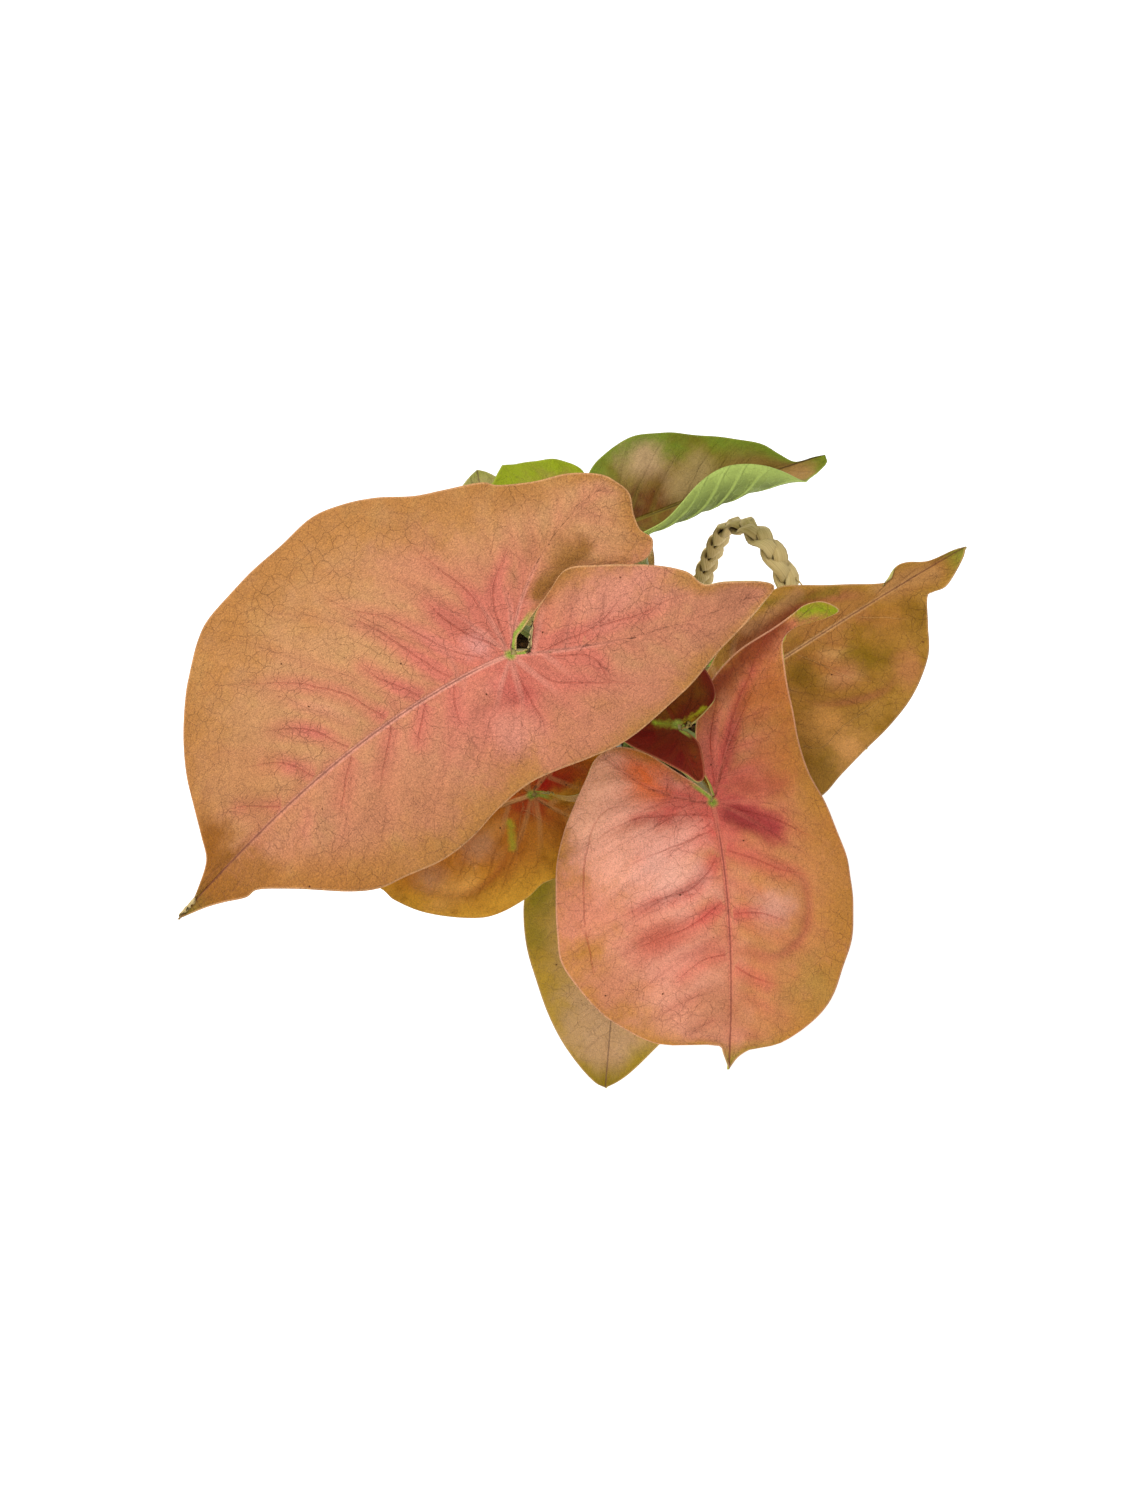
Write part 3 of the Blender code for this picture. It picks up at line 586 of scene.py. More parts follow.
soil_turn = np.arange(SOIL_SPOKES) / SOIL_SPOKES * tau
top = [(radius, soil_top(radius, soil_turn)) for radius in np.linspace(0, 1, SOIL_RINGS)[1:] * SOIL_RADIUS]
skirt = [(SOIL_RADIUS - 0.5 * MM, np.full(SOIL_SPOKES, soil_high.z - 3 * SOIL_HEAP)),
         (POT_FOOT - POT_BEVEL, np.full(SOIL_SPOKES, soil_low.z))]
soil_points = np.array([np.stack([radius * np.cos(soil_turn), radius * np.sin(soil_turn), z], axis=1)
                        for radius, z in top + skirt])
soil_faces = grid_faces(len(soil_points), SOIL_SPOKES, False, True).tolist()
spoke = np.arange(SOIL_SPOKES)
last = spoke + (len(soil_points) - 1) * SOIL_SPOKES
crown = np.full(SOIL_SPOKES, len(soil_points) * SOIL_SPOKES)
soil_faces += np.stack([crown, spoke, (spoke + 1) % SOIL_SPOKES], axis=1).tolist()
soil_faces += np.stack([np.roll(last, -1), last, crown + 1], axis=1).tolist()
soil_points = np.vstack([soil_points.reshape(-1, 3), [(0, 0, soil_top(0.0, 0.0)), (0, 0, soil_low.z)]])
soil_heap = put_mesh("soil_heap", soil_points, soil_faces, [soil_finish()])
crumbs = grains("soil_crumbs", CRUMBS, *CRUMB_SIZES, grain_finish("bark", BARK_DARK, BARK_LIGHT))
white = grain_finish("perlite", PERLITE_DARK, PERLITE_LIGHT)
for piece in (soil_heap, crumbs, grains("soil_perlite", PERLITE, *PERLITE_SIZES, white)):
    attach(piece, "root")
    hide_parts("soil")

# Stems: four short, thick, ringed green stems, browner where they come out of the soil. The leaf
# stalks grow out of their tops.
HANDLE_BEARING = 34.0           # degrees from the front's right to the +X axis
STEM_RADIUS = 3.4 * MM
STEM_STEPS, STEM_SIDES = 40, 24
STEM_FOOT = 8 * MM              # how deep the visible stem goes into the soil
STEM_RINGS, RING_RISE = 4.4, 0.10   # leaf scars up a stem, and their rise as a share of its radius
STEM_CROWN = 0.08               # share of a stem over which its top rounds off
STEM_LOW, STEM_HIGH, STEM_BLUSH = (112, 112, 62), (150, 152, 88), (134, 142, 74)
Stem = namedtuple("Stem", "bearing reach top")
STEMS = {
    "stem_left": Stem(-149, 17.5, 87),
    "stem_front": Stem(-47, 19, 88),
    "stem_right": Stem(32, 19, 86),
    "stem_back": Stem(121, 17.5, 87),
}


def on_bearing(bearing, reach):
    """The point at a front-view bearing and a distance from the axis, in the model's frame."""
    turn = radians(bearing - HANDLE_BEARING)
    return reach * cos(turn), reach * sin(turn)


def tube(path, radii, sides):
    """A round tube along a path, as (1, steps, sides, 3) points and places for its fibres. Its
    section is kept from twisting by leaning on one fixed direction across the path."""
    ahead = unit(np.gradient(path, axis=0))
    lean = unit(np.cross(ahead, (path[-1] - path[0]) * (1, 1, 0) + (1e-6, 0, 0)))
    other = np.cross(ahead, lean)
    around = np.arange(sides) / sides * tau
    section = lean[:, None] * np.cos(around)[:, None] + other[:, None] * np.sin(around)[:, None]
    points = path[:, None] + section * radii[:, None, None]
    run = np.concatenate([[0], np.cumsum(np.linalg.norm(np.diff(path, axis=0), axis=1))])
    fibre = np.stack(np.broadcast_arrays(run[:, None] / MM, np.cos(around) * 2, np.sin(around) * 2), axis=-1)
    return points[None], fibre[None]


def shade(colour, factor):
    """A screen colour made darker or lighter by a factor."""
    return screen(*[min(255, factor * part) for part in colour])


def stalk_finish(name, low, high, blush, length):
    """A fleshy stalk: green with paler lengthwise streaks, flushed towards the blade, and waxy."""
    material, place = new_finish(name, {"Specular IOR Level": 0.45, "Coat Roughness": 0.3})
    fibre = place.field("fibre")
    streaks = (fibre * (0.06, 1.6, 1.6)).cloud(1.0, 3.0, 0.6)
    freckles = (place / MM).cloud(1.5, 3.0, 0.7)
    colour = streaks.rise(0.35, 0.7).mix(screen(*low), screen(*high))
    colour = fibre.parts()[0].rise(0.55 * length, length).mix(colour, screen(*blush))
    colour = freckles.rise(0.66, 0.8).mix(colour, shade(low, 0.6))
    dress(material, colour, streaks * 0.2 + 0.32, streaks, 0.12 * MM)
    return material


stem_skin = stalk_finish("stem_skin", STEM_LOW, STEM_HIGH, STEM_BLUSH, 30)
for name, stem in STEMS.items():
    share = np.linspace(0, 1, STEM_STEPS)
    rings = RING_RISE * np.clip(np.sin(share * STEM_RINGS * tau), 0, 1) ** 6
    radii = STEM_RADIUS * (1.0 + rings) * np.sqrt(np.clip((1 - share) / STEM_CROWN, 0.02, 1))
    x, y = on_bearing(stem.bearing, stem.reach * MM)
    height = np.linspace(soil_high.z - STEM_FOOT, stem.top * MM, STEM_STEPS)
    centre = np.stack([np.full(STEM_STEPS, x), np.full(STEM_STEPS, y), height], axis=1)
    trunk = join_strands(name + "_trunk", [tube(centre, radii, STEM_SIDES)], False, stem_skin)
    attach(trunk, "root")
    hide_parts(name)

# The big top leaf: a thin arrowhead blade with two long back lobes that overlap, pink round the
# junction and along its veins and tan at the margin, held by one long green stalk. This section also
# says how every blade and stalk is made.
STALK_ROOT = 4                  # mm below the stem's top where the stalks start
STALK_SPREAD = 0.15             # share of its way out that a stalk has gone by the end of its rise
STALK_FOOT, STALK_TOP = 2.3, 1.4   # radius in mm where it leaves the stem and under its blade
SHEATH = 0.22                   # share of a stalk that its clasping base takes
SHEATH_SWELL = 0.35             # how much thicker it is at the stem, as a share
STALK_STEPS, STALK_SIDES = 56, 16
STALK_END = 0.4 * MM            # how far below the blade's skin a stalk stops
FLARE, FLARE_STEPS = 1.15, 8    # how a stalk widens into its blade, over its last steps
STALK_LOW, STALK_HIGH, STALK_BLUSH = (106, 124, 54), (150, 160, 86), (168, 150, 92)
NECK = 2.5 * MM                 # the last stretch of a stalk, square to its blade
SINUS = 2.0                     # mm from the junction back to the bottom of the notch
ROWS_TURN = 0.3                 # share of the length, from the junction, where the lobe's rows start
ROWS_CROWD = 0.85               # power that spaces the rows in front of it
CORNERS = 12.0                  # mm of outline that a radian of turning counts as, for the rows
LOBE_REACH, LOBE_BEND = 0.5, 1.5   # where a lobe has its full lift, and the power of the lift
WAVES, WAVE_SHIFT = 11.0, 2.1   # radians of margin wave along a leaf, and between its halves
SETTLE = 7.0                    # mm from the junction over which waves and folds grow
GROOVE, GROOVE_WIDE = 0.45, 1.6   # depth and half width in mm of the groove along the midrib
SINK, SINK_WIDE = 0.4, 1.3      # the same of the groove over a leaf's own vein
CELL = 1.25                     # mm between the points of a blade
WELD = 0.06 * MM                # points of the two halves that are closer than this become one
BLADE_THICK = 1.7 * MM          # through the midrib; the blade between the veins has a share of it
BLADE_SHARE = 0.26
THICK_STEPS = 40                # steps of thickness between the two
MARGIN_SLANT = 0.85             # rows meet the margin at a slant, so it is nearer than along a row
LATERALS = 7.0                  # main side veins to a half, from the junction to the tip
VEIN_SWEEP = 0.13               # share of the length that a side vein has moved forward at the margin
VEIN_FAN = 0.5                  # radians between the veins that leave the junction itself
VEIN_UNEVEN = 0.12              # how unevenly the side veins follow each other, in spacings
VEIN_STAGGER = 0.3              # how far the right half's veins sit behind the left half's, in spacings
BRANCH_GAP = 11.0               # mm along a lobe's own rib between the veins that branch off it
BRANCH_LEAN = (0.9, 0.45)       # how far a branch runs along the rib for each mm away, outside and inside
RIB_KEEP = 0.88                 # share of a lobe's rib from which veins branch
CROSSING = 0.28                 # rise of a lobe over its neighbour, for each mm past the midline
KNOT_GREEN = (160, 176, 70)     # where the stalk meets the blade
SPECK_BROWN = (92, 50, 24)      # a few dead specks

# A leaf, in mm and degrees where nothing else is said:
# name, stem: the solid of the blade, and the stem that the stalk grows from.
# bearing, reach, height: where its junction is, the point at which the stalk meets the blade.
# heading, pitch: where the tip points, and how far it hangs.
# length, left, right: from the junction to the tip, and the outline of each half from the tip round
#   its lobe to the notch, through points (along, across).
# rise, lean, sweep: how far the stalk climbs upright from the stem, and how far it reaches down
#   square from the blade and forward under it.
# roll: how far the left half is raised.
# fold, curl: the V at the midrib, and the arch of the left and right halves in radians for each mm,
#   positive where the edge goes down.
# droop: the arch along the midrib in front of and behind the junction, in radians.
# lobes, wave: the lift of the left and right lobe tips, and the height of the waves at the margin.
# tighten: how much more the halves curl towards the tip, as a share.
# ribs: for the left and right lobes, the share of the lobe's reach at which its own rib aims and
#   how far the rib bows out, as a share of its length.
# sway: how far the midrib bows to its left.
# quilt, dents: how far the blade swells between its veins, and hollows (along, across, radius, depth).
# veins, folds: its own strong side veins, and folds (line, half width, depth). These lines and the
#   dents count across as positive to the left.
# slot: the name of a material slot for the blade; it is not used.
# What a leaf leaves out is that of a plain one, as in the defaults.
Leaf = namedtuple(
    "Leaf",
    "name stem bearing reach height heading pitch length left right rise lean sweep roll"
    " fold curl droop lobes wave tighten ribs sway quilt dents veins folds slot",
    defaults=(0, 0, 5, (0.010, 0.010), (0.2, 0.1), (0, 0), 0.8, 0, ((0.75, 0.05),) * 2,
              0, 0.35, (), (), (), "leaf_tan"),
)

# Colours as a screen shows them: the margin, the fields of the left and right halves, the core round
# the junction, the veins, the patches, the tip and the underside. heart is the core's radius in mm;
# band, patches, grain, net and gloss are strengths. A blot is a soft spot of another colour, of the
# leaf's own or, on some leaves, a painted highlight or painted shade: its place (along, across) or
# the two ends of a streak, its radius in mm, its colour and its strength.
# line is the colour of the leaf's own veins and rim that of its thin edge.
Coat = namedtuple(
    "Coat",
    "margin left right core vein patch tip under heart band patches grain net gloss blots line rim",
    defaults=((), None, None),
)


def arrow(length, width, lobe):
    """One half of a plain arrowhead outline in mm, (along, across) from the tip's shoulder back
    to the inside of the lobe: width at the widest, lobe as its length behind the junction."""
    return ((length * 0.80, width * 0.24), (length * 0.55, width * 0.66), (length * 0.28, width * 0.95),
            (0, width), (-lobe * 0.55, width * 0.92), (-lobe * 0.95, width * 0.67),
            (-lobe * 0.92, width * 0.37), (-lobe * 0.45, width * 0.12))


def leaf_axes(leaf):
    """Forward, left and up of a leaf: its heading and pitch, then its roll about the midrib."""
    course, pitch, roll = (radians(a) for a in (leaf.heading - HANDLE_BEARING, leaf.pitch, leaf.roll))
    forward = np.array([cos(pitch) * cos(course), cos(pitch) * sin(course), -sin(pitch)])
    side = np.array([-sin(course), cos(course), 0.0])
    lift = np.cross(forward, side)
    return forward, side * cos(roll) + lift * sin(roll), lift * cos(roll) - side * sin(roll)


def lobe_rib(leaf, side, edge, points):
    """A lobe's own rib, seen from points: how far each is along the rib's chord, how far off the
    rib, a function that gives the rib's point at a distance along the chord, and the chord's length.

    The chord runs from the junction to the middle of the lobe at a share of its reach, and the rib
    bows out from it in a parabola: leaf.ribs has that share and the bow, as a share of the chord."""
    aim, bend = leaf.ribs[side]
    inside = edge[edge[:, 0] < aim * edge[:, 0].min()]
    middle = (inside[0] + inside[-1]) / 2
    reach = np.linalg.norm(middle) / aim
    ahead = unit(middle)
    outward = np.array([ahead[1], -ahead[0]])

    def bow(run):
        share = np.clip(run / reach, 0, 1)
        return bend * reach * 4 * share * (1 - share)

    def rib_point(run):
        return run[:, None] * ahead + bow(run)[:, None] * outward

    run = points @ ahead
    return run, points @ outward - bow(run), rib_point, reach


def half_outline(leaf, side, tip_rows, lobe_rows):
    """(rib, margin, phase) of one half, row by row from the tip to the notch: the row's two ends in
    flat mm, and a number that is whole at each vein and falls by one from a vein to the next.

    In front the rows are the side veins of the midrib. Behind them they fan round the junction and
    then branch off the lobe's own rib, first on its outer side and then, coming back, on its inner."""
    half = (leaf.left, leaf.right)[side]
    edge = spline([(leaf.length, 0), *half, (-SINUS, 0)], 12)
    lead = ROWS_TURN * leaf.length
    turn = int(np.argmax(edge[:, 0] <= lead))
    share = np.linspace(1, 0, tip_rows + 1) ** ROWS_CROWD
    along = lead + share * (leaf.length - lead)
    front = np.stack([along, np.interp(-along, -edge[:turn + 1, 0], edge[:turn + 1, 1])], axis=1)
    front[0] = leaf.length, 0
    lobe = resample(np.vstack([front[-1], edge[turn:]]), lobe_rows + 1, CORNERS)
    run, off, rib_point, reach = lobe_rib(leaf, side, edge, lobe)
    start = np.clip(run - np.abs(off) * np.where(off > 0, *BRANCH_LEAN), 0, RIB_KEEP * reach)
    far_end = int(start.argmax())
    start[:far_end] = np.maximum.accumulate(start[:far_end])
    start[far_end:] = np.minimum.accumulate(start[far_end:])
    start = np.convolve(np.pad(start, 4, mode="edge"), np.ones(9) / 9, mode="valid")
    start[0] = 0
    from_rib = lobe - rib_point(start)
    facing = np.unwrap(np.arctan2(from_rib[:, 1], from_rib[:, 0]))
    step = np.abs(np.diff(start)) / BRANCH_GAP + np.abs(np.diff(facing)) / VEIN_FAN
    rib = np.vstack([np.stack([share * leaf.length, 0 * share], axis=1), rib_point(start)[1:]])
    phase = np.concatenate([LATERALS * share, -np.cumsum(step)])
    return rib, np.vstack([front, lobe[1:]]), phase


def hump(distance, width):
    """A smooth hump: 1 in its middle, and nearly 0 two widths away."""
    return np.exp(-(distance / width) ** 2)


def mm_per_unit(field, flat):
    """How many flat mm a field takes to change by one: one over the length of its gradient, from
    the differences between neighbouring points of the grid."""
    field_row, field_column = np.gradient(field)
    x_row, x_column = np.gradient(flat[..., 0])
    y_row, y_column = np.gradient(flat[..., 1])
    area = x_row * y_column - x_column * y_row
    area = np.where(np.abs(area) < 1e-6, 1e-6, area)
    slope = np.hypot(field_row * y_column - field_column * y_row,
                     x_row * field_column - x_column * field_row)
    return np.clip(np.abs(area) / np.maximum(slope, 1e-9), 0.0, 60.0)


def vein_fields(leaf, side, edge, phase, flat, t):
    """phase at each point of one half, swept forward towards the margin as t squared, and the
    distances in mm to the lobe's own rib and to the midrib."""
    along, out = flat[..., 0], flat[..., 1]
    steady = phase[:, None] + VEIN_UNEVEN * np.sin(2.1 * phase[:, None] + 1.7 * side)
    sweep = LATERALS * VEIN_SWEEP * t**2 * np.clip(1 + phase[:, None] / 4, 0, 1) ** 2
    run, off, _, reach = lobe_rib(leaf, side, edge, flat)
    own_rib = np.hypot(off, np.maximum(-run, run - RIB_KEEP * reach).clip(0))
    midrib = np.hypot(out, np.clip(-along, 0, None))
    return steady - sweep + VEIN_STAGGER * side * np.clip(t / 0.12, 0, 1), own_rib, midrib


def line_distance(line, flat):
    """From each flat point to a smooth line: the distance in mm, the same with a sign for the side,
    and the share of the line at which its nearest point lies."""
    path = spline(line, 5)
    step = np.diff(path, axis=0)
    away = flat[..., None, :] - path[:-1]
    share = np.clip((away * step).sum(axis=-1) / (step**2).sum(axis=-1), 0, 1)
    gap = np.linalg.norm(away - share[..., None] * step, axis=-1)
    side = gap * np.sign(step[:, 0] * away[..., 1] - step[:, 1] * away[..., 0])
    near = gap.argmin(axis=-1)[..., None]
    gap, side, share = (np.take_along_axis(v, near, -1)[..., 0] for v in (gap, side, share))
    return gap, side, (near[..., 0] + share) / len(step)


def trace_fields(leaf, place):
    """What a leaf's own veins and folds do at each flat place (along, across): the distance to the
    nearest vein with and without a side, how strong that vein is there, and the depth of the folds."""
    gap, side, strong = (np.full(place.shape[:-1], value) for value in (40.0, 40.0, 0.0))
    for line in leaf.veins:
        near, aside, run = line_distance(line, place)
        closer = near < gap
        gap, side = np.where(closer, near, gap), np.where(closer, aside, side)
        strong = np.where(closer, np.clip(run / 0.04, 0, 1) * np.clip((1 - run) / 0.5, 0, 1), strong)
    dip = np.zeros(place.shape[:-1])
    for line, width, depth in leaf.folds:
        near, _, run = line_distance(line, place)
        dip = dip + depth * hump(near, width) * np.sin(pi * np.clip(run, 0, 1)) ** 0.6
    return gap, side, strong, dip


def relief(leaf, side, flat, t, phase, spacing):
    """Height over the smooth blade in mm: it swells between its veins, sinks along its midrib, and
    has its own dents, each a hollow (along, across, radius, depth)."""
    along, out = flat[..., 0], flat[..., 1]
    far = np.hypot(along, out)
    settle = 1 - hump(far, SETTLE)
    swell = -leaf.quilt * np.cos(tau * phase) * np.sin(pi * t**0.75) * np.clip(spacing / 9, 0, 1) ** 2
    slow = 0.5 * leaf.quilt * np.sin(along * 0.11 + side * 1.7) * np.sin(out * 0.13 + along * 0.05) * t
    ripple = t**2 * np.sin(along / leaf.length * WAVES + side * WAVE_SHIFT)
    ripple = ripple + 0.25 * t**6 * np.sin(along / leaf.length * 3.3 * WAVES + side)
    ripple = leaf.wave * ripple * np.clip(out / 12, 0, 1)
    groove = -GROOVE * hump(out, GROOVE_WIDE) * np.clip(along / leaf.length, 0, 1) ** 0.3
    signed = out * (1 - 2 * side)
    for x, y, radius, depth in leaf.dents:
        swell = swell - depth * hump(np.hypot(along - x, signed - y), radius)
    return (swell + slow + ripple) * settle + groove + CROSSING * np.clip(-out, 0, None)


def bend_half(leaf, side, flat, height):
    """Bends flat points (along, out from the midrib) of one half, with a height over each, into the
    leaf's own space, in mm.

    Across: the slope starts at fold and falls by curl for each mm, so the half is an arc. A leaf
    that tightens has more curl towards its tip, and the very tip opens again.
    Along: the midrib's slope turns from -droop at the junction to droop at the tip, a second arc.
    Lobes lift with how far they lie behind the junction."""
    along, out = flat[..., 0], flat[..., 1]
    share = np.clip(along / leaf.length, 0, 1)
    curl = leaf.curl[side] * (1 + leaf.tighten * share) * (1.001 - share**5)
    fold = radians(leaf.fold)
    face = fold - curl * out
    across = (sin(fold) - np.sin(face)) / curl - height * np.sin(face) * np.clip(out / 2, 0, 1)
    rise = (np.cos(face) - cos(fold)) / curl + height * np.cos(face)
    rise = rise + leaf.lobes[side] * (np.clip(-along, 0, None) / leaf.length / LOBE_REACH) ** LOBE_BEND
    grid = np.linspace(along.min(), along.max(), 400)
    slope = np.where(grid > 0, leaf.droop[0], leaf.droop[1]) * 2 * grid / leaf.length - leaf.droop[0]
    step = grid[1] - grid[0]
    run, sink = np.cumsum(np.cos(slope)) * step, -np.cumsum(np.sin(slope)) * step
    run, sink = run - np.interp(0, grid, run), sink - np.interp(0, grid, sink)
    lean = np.interp(along, grid, slope)
    x = np.interp(along, grid, run) + rise * np.sin(lean)
    z = np.interp(along, grid, sink) + rise * np.cos(lean)
    return np.stack([x, across * (1 - 2 * side), z], axis=-1)


def half_blade(leaf, side):
    """One half of a blade: its points in metres, its faces, and the fields that its finish reads."""
    half = np.array((leaf.left, leaf.right)[side])
    border = np.linalg.norm(np.diff(half, axis=0), axis=1).sum()
    rib, edge, phase = half_outline(leaf, side, ceil(leaf.length / CELL), ceil(border / CELL))
    t = np.linspace(0, 1, ceil(half[:, 1].max() / CELL) + 1)[None, :] + 0 * phase[:, None]
    flat = rib[:, None] * (1 - t[..., None]) + edge[:, None] * t[..., None]
    phase, own_rib, midrib = vein_fields(leaf, side, edge, phase, flat, t)
    spacing = mm_per_unit(phase, flat)
    place = flat * (1, 1 - 2 * side)
    gap, aside, strong, dip = trace_fields(leaf, place)
    sink = dip + SINK * strong * hump(gap, SINK_WIDE)
    bent = bend_half(leaf, side, flat, relief(leaf, side, flat, t, phase, spacing) - sink)
    bent[..., 1] += leaf.sway * np.sin(pi * np.clip(flat[..., 0] / leaf.length, 0, 1) ** 0.8) * (1 - t)
    forward, left, up = leaf_axes(leaf)
    base = np.array([*on_bearing(leaf.bearing, leaf.reach), leaf.height])
    points = (base + bent[..., :1] * forward + bent[..., 1:2] * left + bent[..., 2:] * up) * MM
    rim = (1 - t) * np.linalg.norm(edge - rib, axis=1)[:, None] * MARGIN_SLANT
    along, across = place[..., 0], place[..., 1]
    slim = 1 - 0.75 * np.clip(along / leaf.length, 0, 1)
    side_rib = 0.35 * hump(np.abs(phase - np.round(phase)) * spacing, 0.9) * (1 - t)
    side_rib = side_rib.clip(0.4 * strong * hump(gap, 1.1))
    swollen = hump(midrib, 1.3).clip(0.6 * hump(own_rib, 1.1)).clip(side_rib)
    fields = {
        "flat": np.stack([along, across, t], axis=-1),
        "lines": np.stack([phase, spacing, rim], axis=-1),
        "ribs": np.stack([own_rib, midrib, np.hypot(along, across)], axis=-1),
        "trace": np.stack([gap, aside, strong], axis=-1),
        "dip": dip,
        "rib": BLADE_SHARE + (1 - BLADE_SHARE) * swollen * slim * (1 - t**4),
    }
    faces = grid_faces(*t.shape)
    return points, faces[:, ::-1] if side else faces, fields


def put_blade(leaf, upper, lower):
    """A blade: both halves welded along the midrib, given a thickness below that swells into ribs
    along the veins. Its upper skin has one finish and its lower skin and edge another."""
    left, right = half_blade(leaf, 0), half_blade(leaf, 1)
    points = np.vstack([left[0].reshape(-1, 3), right[0].reshape(-1, 3)])
    faces = np.vstack([left[1], right[1] + left[0].shape[0] * left[0].shape[1]])
    fields = {}
    for name in left[2]:
        both = [half[2][name].reshape(-1, *half[2][name].shape[2:]) for half in (left, right)]
        fields[name] = np.concatenate(both)
    piece = put_mesh(leaf.name + "_blade", points, faces.tolist(), [upper, lower], **fields)
    sheet = bmesh.new()
    sheet.from_mesh(piece.data)
    bmesh.ops.remove_doubles(sheet, verts=sheet.verts, dist=WELD)
    bmesh.ops.dissolve_degenerate(sheet, edges=sheet.edges, dist=0.01 * MM)
    sheet.to_mesh(piece.data)
    sheet.free()
    weights = np.zeros(len(piece.data.vertices), np.float32)
    piece.data.attributes["rib"].data.foreach_get("value", weights)
    group = piece.vertex_groups.new(name="thickness")
    levels = np.round(weights * THICK_STEPS).astype(int)
    for level in np.unique(levels):
        group.add(np.flatnonzero(levels == level).tolist(), level / THICK_STEPS, "REPLACE")
    solid = piece.modifiers.new("thickness", "SOLIDIFY")
    solid.thickness = BLADE_THICK
    solid.offset = -1
    solid.vertex_group = "thickness"
    solid.material_offset = solid.material_offset_rim = 1
    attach(piece, "root")
    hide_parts(leaf.name)


def vein_wires(place):
    """The wires that both skins of a blade share: the flat place in mm, its distances to the veins,
    and the clouds that make the lines uneven."""
    flat, lines = place.field("flat"), place.field("lines")
    along, across, t = flat.parts()
    phase, spacing, rim = lines.parts()
    own_rib, midrib, far = place.field("ribs").parts()
    gap, aside, strong = place.field("trace").parts()
    level = flat * (1, 1, 0)
    drift = level.cloud(0.09, 2.0)
    return SimpleNamespace(
        level=level, along=along, across=across, t=t, rim=rim, far=far, drift=drift,
        own_rib=own_rib, midrib=midrib, gap=gap, strong=strong,
        own=abs(aside + (drift - 0.5) * 1.6).most(gap - 1.6).rise(0.30, 0.08) * strong,
        dip=place.field("dip", 2),
        vein=(phase + drift * 0.24).to_line() * spacing,
        minor=(phase * 3 + drift).to_line() * spacing / 3,
        weave=(lines * (2.6, 0, 0) + flat * (0, 0, 3.2) + drift).cloud(1.0, 3.0, 0.6),
    )


def bend_lines(level):
    """The flat place shifted here and there, so that lines drawn on it are crooked."""
    shift = level.node("TexNoise", {"Vector": level, "Scale": 0.35, "Detail": 2.0}, output=1) - 0.5
    return level + shift * 2.4


def net_lines(bent, scale, wide):
    """A net of fine veins, the edges of cells: scale in cells for each mm, wide as a share of one."""
    edge = bent.node("TexVoronoi", {"Vector": bent, "Scale": scale}, feature="DISTANCE_TO_EDGE")
    return edge.rise(wide, 0.0)


